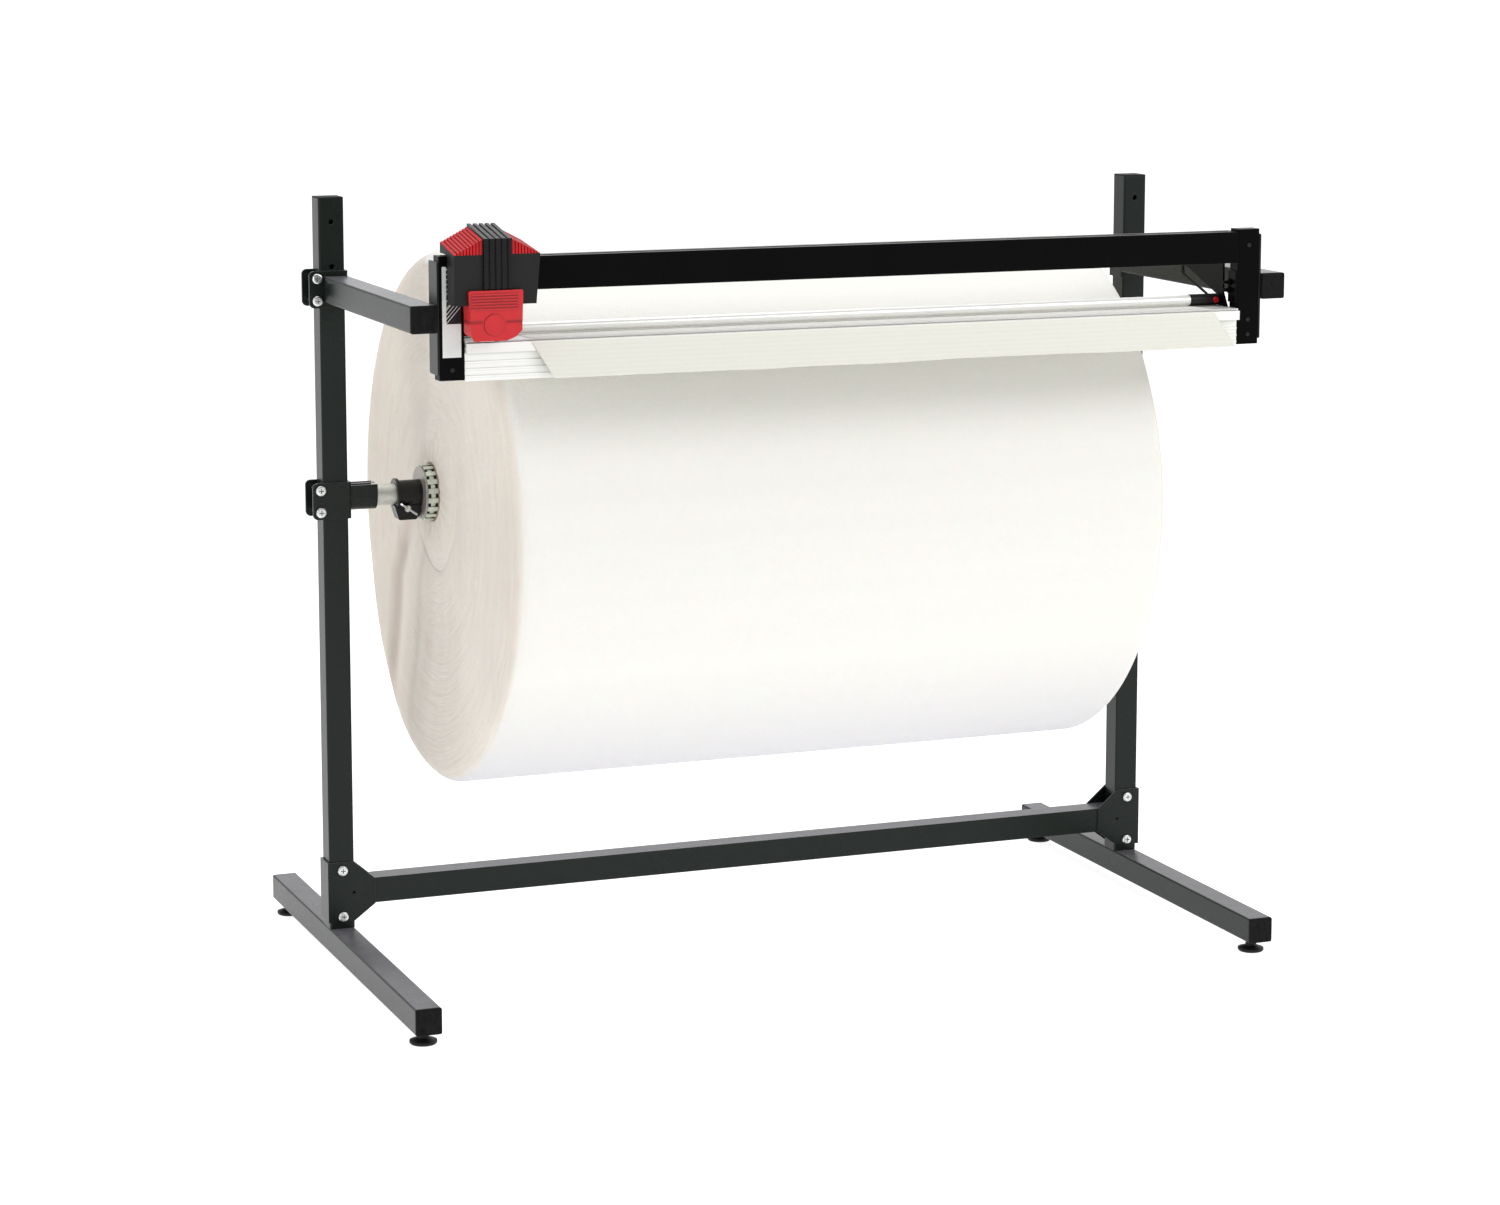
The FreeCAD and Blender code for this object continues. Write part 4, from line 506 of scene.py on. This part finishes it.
def wound_foam():
    """The roll's film: painted bluish shade towards its bottom, and at its ends the turns' edges, painted
    shade streaking down the hanging folds, painted shade beside the crease with a painted highlight on it,
    and painted shade near the core and towards the back.
    """
    f, base, heights, soft = film_base("wound_film_foam")
    y, z = f.along("Y"), f.along("Z")
    wound = f.add("ShaderNodeAttribute", {"attribute_name": "wound"}, out="Vector")
    radius = f.add("ShaderNodeSeparateXYZ", {}, {0: wound}, out="X")
    rings = f.cloud((2600.0, 1.6, 1.6), 4.0, 0.65, spot=wound)
    broad = f.cloud((150.0, 1.1, 1.1), 4.0, 0.6, spot=wound)
    # painted shade: vertical streaks standing in for the shading of soft folds on the ends
    fold_streak_shade = f.ramp(f.cloud((3.0, 26.0, 1.4), 3.0, 0.55), (0.38, 0.0), (0.64, 1.0))
    # painted shade in the hollow round the core, under the chuck
    near_core_shade = f.ramp(radius, (0.045, 1.0), (0.10, 0.0))
    # painted shade: the ends darken towards the back, away from the light
    far_back_shade = f.ramp(y, (0.02, 0.0), (0.26, 1.0))

    bend_low, bend_high = CREASE_BEND
    crease_y = CREASE_Y - CREASE_LEAN * f.ramp(z, (bend_low, 0.0), (bend_high, 1.0))
    fold = f.ramp(z, (0.26, 0.0), (0.44, 1.0)) * f.ramp(z, (0.63, 1.0), (0.70, 0.0))

    def beside_crease(way_back, full, none):
        """1 within full of a line beside the crease, falling to 0 at none."""
        return fold * f.ramp((y - crease_y - way_back).size(), (full, 1.0), (none, 0.0))

    ends = f.layers(
        f.mix(rings, (0.80, 0.730, 0.640), (0.92, 0.870, 0.785)),
        # painted shade streaking down the folds
        (fold_streak_shade * 0.55, (0.80, 0.725, 0.645)),
        (broad * 0.6, (0.89, 0.835, 0.75)),
        # painted shade near the core
        (near_core_shade * 0.35, (0.66, 0.59, 0.50)),
        # painted shade towards the back
        (far_back_shade * 0.55, (0.74, 0.665, 0.575)),
        # painted shade: a wide dark band behind the crease
        (beside_crease(0.056, 0.008, 0.042) * 0.9, (0.56, 0.485, 0.420)),
        # painted shade: a narrow darker stripe in front of the crease
        (beside_crease(-0.060, 0.004, 0.022) * 0.5, (0.64, 0.595, 0.51)),
        # painted highlight along the crease itself
        (beside_crease(0.0, 0.004, 0.020) * 0.45, (0.88, 0.82, 0.74)))
    sideways = f.ramp(f.facing("X").size(), (0.55, 0.0), (0.85, 1.0))
    # painted shade: bluish grey darkening towards the roll's bottom
    underside_shade = f.ramp(z, (0.30, 1.0), (0.50, 0.0))
    base = f.layers(base, (underside_shade * 0.85, (0.645, 0.641, 0.680)), (sideways, ends))
    heights = heights + sideways * (rings * 2.5 + broad * 2.0)
    return film_shade(f, base, heights, soft, 0.15)


def sheet_foam():
    """The sheet's film, with painted shade where it hangs over the rail's front, lightened in lines by
    painted light and shade of the rail's ribs behind it.
    """
    f, base, heights, soft = film_base("film_sheet_foam")
    lowest_rib, rib_pitch = 0.978, 0.0068
    z = f.along("Z")
    # painted light and shade of the rail's ribs, at their pitch
    ribs = f.ramp(((z - lowest_rib) / rib_pitch).share(), (0.0, 0.0), (0.25, 1.0), (0.5, 0.0))
    # painted shade where the film hangs over the rail's front
    hanging = f.ramp((z - 1.0) * 10.0, (0.30, 1.0), (0.335, 0.0))
    base = f.mix(hanging * (0.9 - 0.2 * ribs), base, (0.70, 0.695, 0.625))
    return film_shade(f, base, heights, soft, 0.0)


FINISHES = {
    "frame_paint": stand_paint(),
    "cutter_paint": cutter_paint(),
    "zinc": bright_zinc(),
    "aluminium": rail_aluminium("rail_aluminium", 0.75),
    "black_plastic": black_plastic(),
    "red_plastic": red_plastic("red_moulding", False, 0.12),
    "rubber": band_rubber(),
    "core_board": core_board(),
    "blade_steel": blade_steel(),
    "plate_white": printed_plate(),
    "strip_plastic": cutting_strip(),
}

NODE_FINISHES = {
    "tube_end_caps": cap_plastic(),
    "roll_shaft": galvanised(),
    "hold_down_bar": rail_aluminium("bar_aluminium", 0.0),
    "blade_guard": red_plastic("guard_moulding", True, 0.38),
}
CHUCK_FINISHES = {
    "_chuck_sleeve": gloss_plastic(),
    # the disc gets the ring's metal in darker, browner colours: a painted reflection of the black sleeve
    # beside it
    "_chuck_flange": chuck_metal("chuck_disc_painted_reflection", (0.30, 0.27, 0.245), (0.44, 0.41, 0.385)),
    "_chuck_ring": chuck_metal("chuck_ring_casting", (0.50, 0.56, 0.47), (0.74, 0.79, 0.69)),
}
for chuck_piece, chuck_finish in CHUCK_FINISHES.items():
    for side in SIDES:
        NODE_FINISHES[side + chuck_piece] = chuck_finish

for node_name, cad_node in nodes.items():
    for cad_slot in cad_node.material_slots:
        kept_name = cad_slot.material.name.split(".")[0]
        finish = NODE_FINISHES.get(node_name, FINISHES.get(kept_name))
        if finish is not None:
            cad_slot.material = finish


# ---- meshes -------------------------------------------------------------------------------

def smoothstep(low, high, value):
    """0 at low rising smoothly to 1 at high, which may lie below it."""
    share = min(max((value - low) / (high - low), 0.0), 1.0)
    return share * share * (3 - 2 * share)


def uneven(*place):
    """Smooth unevenness around 0, the same each run."""
    return noise.noise(Vector(place))


def shares(count, first=1):
    """Even shares of a stretch up to its end, from the first step of count."""
    return [step / count for step in range(first, count + 1)]


def grid_piece(name, rows, finish, closed=False, looped=False):
    """A smooth mesh through rows of points; closed joins each row's ends, looped the first and last rows."""
    points = [point for row in rows for point in row]
    width = len(rows[0])
    faces = []
    for row in range(len(rows) if looped else len(rows) - 1):
        this, following = row * width, (row + 1) % len(rows) * width
        for index in range(width if closed else width - 1):
            beside = (index + 1) % width
            faces.append((this + index, this + beside, following + beside, following + index))
    mesh = bpy.data.meshes.new(name)
    mesh.from_pydata(points, [], faces)
    form = bmesh.new()
    form.from_mesh(mesh)
    bmesh.ops.recalc_face_normals(form, faces=form.faces)
    form.to_mesh(mesh)
    form.free()
    mesh.polygons.foreach_set("use_smooth", [True] * len(faces))
    mesh.materials.append(finish)
    piece = bpy.data.objects.new(name, mesh)
    bpy.context.scene.collection.objects.link(piece)
    return piece


# ---- roll of film -------------------------------------------------------------------------

ROLL_BORE = 0.0853         # radius of the hole round the core
RECESS_EDGE = 0.1716       # radius where the flat floor of the dished end stops
FACE_FLOOR = 0.5214        # x of that floor
BORE_LIP = 0.002           # rounding between floor and bore
SHOULDER_DEPTH = 0.060     # how far in from the skin the rounded shoulder begins
SHOULDER_RUN = 0.030       # and how far from the roll's tip it ends
SHOULDER_STEEPEST = 0.98   # share of the shoulder's run that the film above it follows
ROLL_TURNS = 240           # points round the roll and round the core's tight turns
DENT_DEPTH = 0.0012        # of the slack skin
wound_finish = wound_foam()


def end_shift(side, rise):
    """How far an end of the slack roll stands proud of its usual place, from its bottom, -1, to its top, 1:
    the left end bellies out at the bottom, the right one above the middle."""
    if side < 0:
        return 0.007 * smoothstep(-0.70, -0.98, rise) - 0.0055 * smoothstep(-0.75, -0.30, rise)
    return 0.0030 * smoothstep(-0.30, 0.40, rise) + 0.0025 * smoothstep(0.45, 0.75, rise)


def shoulder_drop(x, rise):
    """How far the roll's skin lies below its full radius at x, near its ends."""
    near_left = (roll_low.x - end_shift(-1, rise) + SHOULDER_RUN - x) / SHOULDER_RUN
    near_right = (x - roll_high.x - end_shift(1, rise) + SHOULDER_RUN) / SHOULDER_RUN
    share = min(max(near_left, near_right, 0.0), SHOULDER_STEEPEST)
    return SHOULDER_DEPTH * (1 - math.sqrt(1 - share * share))


def half_profile(tip, sign):
    """One end's (x, radius, face) points, from the bore over the dished end to the skin."""
    floor = sign * FACE_FLOOR
    outer = ROLL_RADIUS - SHOULDER_DEPTH
    lip = ROLL_BORE + BORE_LIP
    line = [(sign * (FACE_FLOOR - 0.010), ROLL_BORE, 0.0),
            (sign * (FACE_FLOOR - 0.002), ROLL_BORE, 0.0),
            (sign * (FACE_FLOOR - 0.0005), ROLL_BORE + 0.0006, 0.3),
            (floor, lip, 0.4)]
    line += [(floor, lip + (RECESS_EDGE - lip) * share, 0.4) for share in shares(8)]
    for share in shares(49):
        rise = 0.55 * share + 0.45 * smoothstep(0.0, 1.0, share)
        face = smoothstep(0.0, 0.12, share) * 0.6 + 0.4
        line.append((floor + (tip - floor) * rise, RECESS_EDGE + (outer - RECESS_EDGE) * share, face))
    for share in shares(16):
        turn = math.pi / 2 * share
        x = tip - sign * SHOULDER_RUN * (1 - math.cos(turn))
        line.append((x, outer + SHOULDER_DEPTH * math.sin(turn), math.cos(turn)))
    return line


def roll_profile():
    """(x, radius, face) round the roll's section; face is a point's part in the unevenness of an end."""
    left = half_profile(roll_low.x, -1)
    right = half_profile(roll_high.x, 1)
    start, end = left[-1][0], right[-1][0]
    skin = [(start + (end - start) * share, ROLL_RADIUS, 0.0) for share in shares(44)[:-1]]
    bore = [(FACE_FLOOR * (1 - 2 * share) * 0.97, ROLL_BORE, 0.0) for share in shares(12)[:-1]]
    return left + skin + right[::-1] + bore


def crease_height(y, z):
    """The hanging folds of the ends: a raised crease that runs down from the chuck, between hollows."""
    crease_y = CREASE_Y - CREASE_LEAN * smoothstep(*CREASE_BEND, z)
    fade = smoothstep(0.70, 0.63, z) if z > 0.63 else smoothstep(0.28, 0.42, z)

    def swell(way_back, width):
        return math.exp(-((y - crease_y - way_back) / width) ** 2)

    return fade * (0.0034 * swell(0.0, 0.016) - 0.0042 * swell(0.055, 0.030) - 0.0014 * swell(-0.060, 0.014))


def roll_point(x, radius, face, turn):
    """A point of the slack roll; turn is measured from the front, going up. Fine layers, steps of many,
    wide swellings and the hanging folds only sink the ends; the skin is dented."""
    across, rise = -math.cos(turn), math.sin(turn)
    side = -1 if x < 0 else 1
    layers = uneven(radius * 130, across * 0.7, rise * 0.7 + side * 5)
    steps = uneven(radius * 34, across * 1.3, rise * 1.3 + side * 9)
    wide = uneven(across * radius * 5, rise * radius * 5, side * 3)
    crease = crease_height(AXIS_Y + radius * across, ROLL_Z + radius * rise)
    push = face * (0.0007 * layers + 0.0012 * steps + 0.0022 * (wide - 0.4) + crease)
    open_face = smoothstep(ROLL_BORE, RECESS_EDGE + 0.03, radius)
    push = min(push * open_face - 0.0004 * face, 0.0) * smoothstep(0.37, 0.31, radius)
    push += end_shift(side, rise) * smoothstep(0.20, 0.355, radius) * smoothstep(0.25, 0.50, abs(x))
    dents = uneven(x * 2.3, across * 1.6, rise * 1.6)
    out = radius + DENT_DEPTH * (dents - 1) * smoothstep(0.25, ROLL_RADIUS, radius)
    return (x + side * push, AXIS_Y + out * across, ROLL_Z + out * rise)


def turned_piece(name, profile, point, finish):
    """A closed soft ring: a section's points carried round an axis, each keeping its place in the winding."""
    turns = [2 * math.pi * index / ROLL_TURNS for index in range(ROLL_TURNS)]
    rows = [[point(*place, turn) for turn in turns] for place in profile]
    piece = grid_piece(name, rows, finish, closed=True, looped=True)
    wound = piece.data.attributes.new("wound", "FLOAT_VECTOR", "POINT")
    values = []
    for _, radius, _ in profile:
        for turn in turns:
            values += [radius, math.cos(turn), math.sin(turn)]
    wound.data.foreach_set("vector", values)
    return piece


def make_roll():
    roll = turned_piece("wound_film", roll_profile(), roll_point, wound_finish)
    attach(roll, "film_roll")
    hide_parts("wrap_roll")


def make_core_wraps(side, sign):
    """The tight inner turns round one end of the core, gathered in small radial puckers."""
    # (x, radius, face) from the bore over the puckered face to its sunk rim, and back behind it
    inner, outer, puckers = 0.050, 0.131, 19
    section = [(0.5219, 0.0462, 0.0), (0.5245, 0.0457, 0.0), (0.5272, 0.0460, 0.3), (0.5281, 0.0478, 0.8)]
    for share in shares(24, 0):
        radius = inner + (outer - inner) * share
        sunk = 0.0087 * smoothstep(0.076, outer, radius)
        section.append((0.5277 - sunk, radius, smoothstep(outer, 0.10, radius)))
    section += [(0.5184, 0.1308, 0.0), (0.5181, 0.128, 0.0)]
    section += [(0.5181 + 0.0038 * share, 0.128 - 0.080 * share, 0.0) for share in shares(8)]

    def wrap_point(x, radius, face, turn):
        across, rise = -math.cos(turn), math.sin(turn)
        drift = uneven(across * 1.5, rise * 1.5, radius * 12 + sign)
        pucker = math.sin(turn * puckers + 5 * drift) * (1 - smoothstep(0.05, 0.125, radius))
        push = face * (0.0007 * pucker + 0.0006 * drift - 0.0004)
        return (sign * (x + push), AXIS_Y + radius * across, AXIS_Z + radius * rise)

    wraps = turned_piece(side + "_core_wraps", section, wrap_point, wound_finish)
    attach(wraps, "core")
    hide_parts(side + "_inner_wraps")


# ---- sheet of film over the rail ----------------------------------------------------------

FILM_LIE = 0.0003                    # from what carries the film to its middle
FILM_THICK = 0.0004
FILM_TUCKED = math.radians(79.0)     # where it comes out of the roll, from the back over the top
FILM_LEAVES = math.radians(133.0)    # and where it leaves the roll for the rail
DECK_BEND = 0.004                    # radius of the rail's back corner
LIP_DROP = 0.003                     # from the deck down to the rail's front lip
LIP_FOLD = 0.0012                    # radius that the film turns over the lip with
CUT_ROOM = 0.0004                    # between the film and each side of the blade
FILM_COLUMNS = 200

# x of the film's edges where it comes out, leaves the roll, reaches the deck, turns over the lip and ends
LEFT_EDGES = (-0.521, -0.521, -0.527, -0.525, -0.491)
RIGHT_EDGES = (0.551, 0.551, 0.570, 0.577, 0.613)


def arc(centre, radius, start, end, count):
    """(y, z) points round a centre; an angle of 0 points to the back and a quarter turn points up."""
    turns = [start + (end - start) * share for share in shares(count, 0)]
    return [(centre[0] + radius * math.cos(turn), centre[1] + radius * math.sin(turn)) for turn in turns]


def run(first, last, count):
    """Points of a straight stretch, without its first."""
    return [(first[0] + (last[0] - first[0]) * s, first[1] + (last[1] - first[1]) * s) for s in shares(count)]


def swing(start, first, second, end, count):
    """Points of the slack film between two places, led by two more."""
    corners = (start, first, second, end)
    line = []
    for t in shares(count):
        weights = ((1 - t) ** 3, 3 * t * (1 - t) ** 2, 3 * t ** 2 * (1 - t), t ** 3)
        line.append(tuple(sum(w * c[axis] for w, c in zip(weights, corners)) for axis in range(2)))
    return line


def film_line():
    """(y, z) points of the film's middle, the first point past the cut, and the points where it changes."""
    rail_low, rail_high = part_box("cutting_rail")
    near_cut = BLADE_THICK / 2 + CUT_ROOM
    deck = rail_high.z + FILM_LIE
    corner = (rail_high.y - DECK_BEND, rail_high.z - DECK_BEND)
    middle = (AXIS_Y, ROLL_Z)
    line = arc(middle, ROLL_RADIUS - 0.004, FILM_TUCKED, FILM_TUCKED + math.radians(1.0), 1)
    line += arc(middle, ROLL_RADIUS + FILM_LIE, FILM_TUCKED + math.radians(5.0), FILM_LEAVES, 26)
    leaves = len(line) - 1
    # the slack film leaves the roll along its skin and comes up behind the rail's back corner
    heading = FILM_LEAVES + math.pi / 2
    first = (line[-1][0] + 0.060 * math.cos(heading), line[-1][1] + 0.060 * math.sin(heading))
    behind = (corner[0] + DECK_BEND + FILM_LIE, corner[1])
    line += swing(line[-1], first, (behind[0], behind[1] - 0.055), behind, 30)
    line += arc(corner, DECK_BEND + FILM_LIE, 0.0, math.pi / 2, 8)[1:]
    turns_over = len(line) - 1
    line += run(line[-1], (BLADE_Y + near_cut, deck), 14)
    cut = len(line)
    lip_z = deck - LIP_DROP
    line += [(BLADE_Y - near_cut, lip_z + 0.0002), (BLADE_Y - near_cut - 0.0012, lip_z)]
    line += arc((rail_low.y + LIP_FOLD - 0.0004, lip_z - LIP_FOLD), LIP_FOLD, math.pi / 2, math.pi, 6)
    lip = len(line) - 1
    line += run(line[-1], (rail_low.y - 0.0016, rail_low.z + 0.0005), 22)
    return line, cut, (0, leaves, turns_over, lip, len(line) - 1)


def between(stations, values, place):
    """The value at a place, straight between those at the stations."""
    for index in range(len(stations) - 2, -1, -1):
        if place >= stations[index]:
            share = (place - stations[index]) / (stations[index + 1] - stations[index])
            return values[index] + (values[index + 1] - values[index]) * share
    return values[0]


def film_row(place, out, way, stations):
    """Points across the film: place is its (y, z), out points square to it, way is how far along it lies."""
    y, z = place
    _, leaves, deck, lip, end = stations
    low, high = between(stations, LEFT_EDGES, way), between(stations, RIGHT_EDGES, way)
    lying = 1 - smoothstep(leaves, leaves + 0.75 * (deck - leaves), way)
    slack = smoothstep(leaves, leaves + 0.05, way) * smoothstep(deck, deck - 0.04, way)
    hang = max(0.0, way - lip) / (end - lip)
    row = []
    for even in shares(FILM_COLUMNS, 0):
        closer_at_edges = 0.45 * even + 0.55 * (0.5 - 0.5 * math.cos(math.pi * even))
        x = low + (high - low) * closer_at_edges
        wave = uneven(x * 5.0, 0.3, 1.7) + 0.5 * uneven(x * 14.0, 2.3, 0.2)
        drop = shoulder_drop(x, 0.9) * lying - 0.0020 * slack * wave
        row.append((x,
                    y - out[0] * drop - 0.0012 * hang * (1 + wave),
                    z - out[1] * drop + hang * hang * 0.0022 * wave))
    return row


def make_film():
    """The film up to the cut line, and its free end beyond it, which hangs over the rail's front."""
    line, cut, changes = film_line()
    reach = [0.0]
    for before, after in zip(line, line[1:]):
        reach.append(reach[-1] + math.hypot(after[0] - before[0], after[1] - before[1]))
    stations = [reach[index] for index in changes]
    rows = []
    for index, place in enumerate(line):
        ahead, back = line[min(index + 1, len(line) - 1)], line[max(index - 1, 0)]
        length = math.hypot(ahead[0] - back[0], ahead[1] - back[1])
        out = ((ahead[1] - back[1]) / length, -(ahead[0] - back[0]) / length)
        rows.append(film_row(place, out, reach[index], stations))
    finish = sheet_foam()
    parts = (("film_sheet", "film_web", rows[:cut], reach[cut - 1], ["wound_film", "cutting_rail"]),
             ("film_flap", "film_end", rows[cut:], reach[-1] - reach[cut], ["cutting_rail"]))
    for name, node, own_rows, length, below in parts:
        film = grid_piece(name, own_rows, finish)
        thick = film.modifiers.new("thickness", "SOLIDIFY")
        thick.thickness = FILM_THICK
        thick.offset = 0.0
        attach(film, "stand")
        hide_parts(node)


make_roll()
make_core_wraps("left", -1)
make_core_wraps("right", 1)
make_film()


# ---- floor, light and camera --------------------------------------------------------------

FLOOR_REACH = 40    # metres from the middle to each edge
FLOOR_TILE = 4

# name, place, what it aims at, size in metres, power in watts
SOFT_BOXES = (
    ("key_softbox", (2.6, -3.6, 3.4), (0.0, 0.0, 0.7), (2.6, 2.0), 95.0),
    ("top_softbox", (-0.4, 0.6, 4.2), (0.0, 0.0, 0.6), (3.6, 2.6), 70.0),
    ("side_softbox", (-4.2, -1.6, 2.4), (0.0, 0.0, 0.7), (2.2, 2.2), 45.0),
)


def make_floor():
    """White floor that gives off most of its light itself, so that shadows on it stay faint."""
    f = Finish("studio_floor")
    base = f.mix(f.cloud(3.0, 4.0), (0.49, 0.49, 0.49), (0.52, 0.52, 0.52))
    finish = f.shade(base, 0.85, f.relief(f.cloud(300.0), 0.0002), specular_ior_level=0.1,
                     emission_color=(1.0, 1.0, 1.0, 1.0), emission_strength=0.84)
    steps = range(-FLOOR_REACH, FLOOR_REACH + 1, FLOOR_TILE)
    floor = grid_piece("studio_floor", [[(x, y, 0.0) for x in steps] for y in steps], finish)


def make_world():
    """White backdrop behind the stand, dimmer room in front of it, plain white to the camera."""
    world = bpy.data.worlds.new("studio_white")
    bpy.context.scene.world = world
    w = Shading(world)
    aim = w.add("ShaderNodeTexCoord", out="Generated")
    right, back, up = (w.add("ShaderNodeSeparateXYZ", {}, {0: aim}, out=axis) for axis in "XYZ")
    toward = 0.5 + 0.445 * back + 0.225 * right    # about 1 behind the stand, about 0 behind the camera
    glow = w.ramp(toward, (0.08, 0.30), (0.42, 0.50), (0.84, 0.60), (0.97, 1.15)) * (0.95 + 0.25 * up)
    light = w.add("ShaderNodeBackground", {}, {"Color": glow, "Strength": 1.0})
    shown = w.add("ShaderNodeBackground", {}, {"Color": (1.0, 1.0, 1.0, 1.0), "Strength": 1.05})
    ray = w.add("ShaderNodeLightPath", out="Is Camera Ray")
    seen = w.add("ShaderNodeMixShader", {}, {0: ray, 1: light, 2: shown})
    w.add("ShaderNodeOutputWorld", {}, {"Surface": seen})


def soft_box(name, spot, aim, size, power):
    data = bpy.data.lights.new(name, "AREA")
    data.shape = "RECTANGLE"
    data.size, data.size_y = size
    data.energy = power
    lamp = bpy.data.objects.new(name, data)
    lamp.location = spot
    lamp.rotation_euler = (Vector(aim) - Vector(spot)).to_track_quat("-Z", "Y").to_euler()
    bpy.context.scene.collection.objects.link(lamp)


def make_camera():
    """A long lens from the front left, a little above the cutter, tipped down and turned to the right."""
    data = bpy.data.cameras.new("front_camera")
    data.sensor_width = 36.0
    data.lens = 90.16
    data.shift_y = -0.08
    camera = bpy.data.objects.new("front_camera", data)
    camera.location = (-2.18245, -5.53596, 1.63598)
    tilt_down, heading = 8.59, -21.38    # degrees
    camera.rotation_euler = (math.radians(90.0 - tilt_down), 0.0, math.radians(heading))
    bpy.context.scene.collection.objects.link(camera)
    bpy.context.scene.camera = camera


make_floor()
make_world()
for lamp_values in SOFT_BOXES:
    soft_box(*lamp_values)
make_camera()
bpy.context.scene.view_settings.view_transform = "Standard"
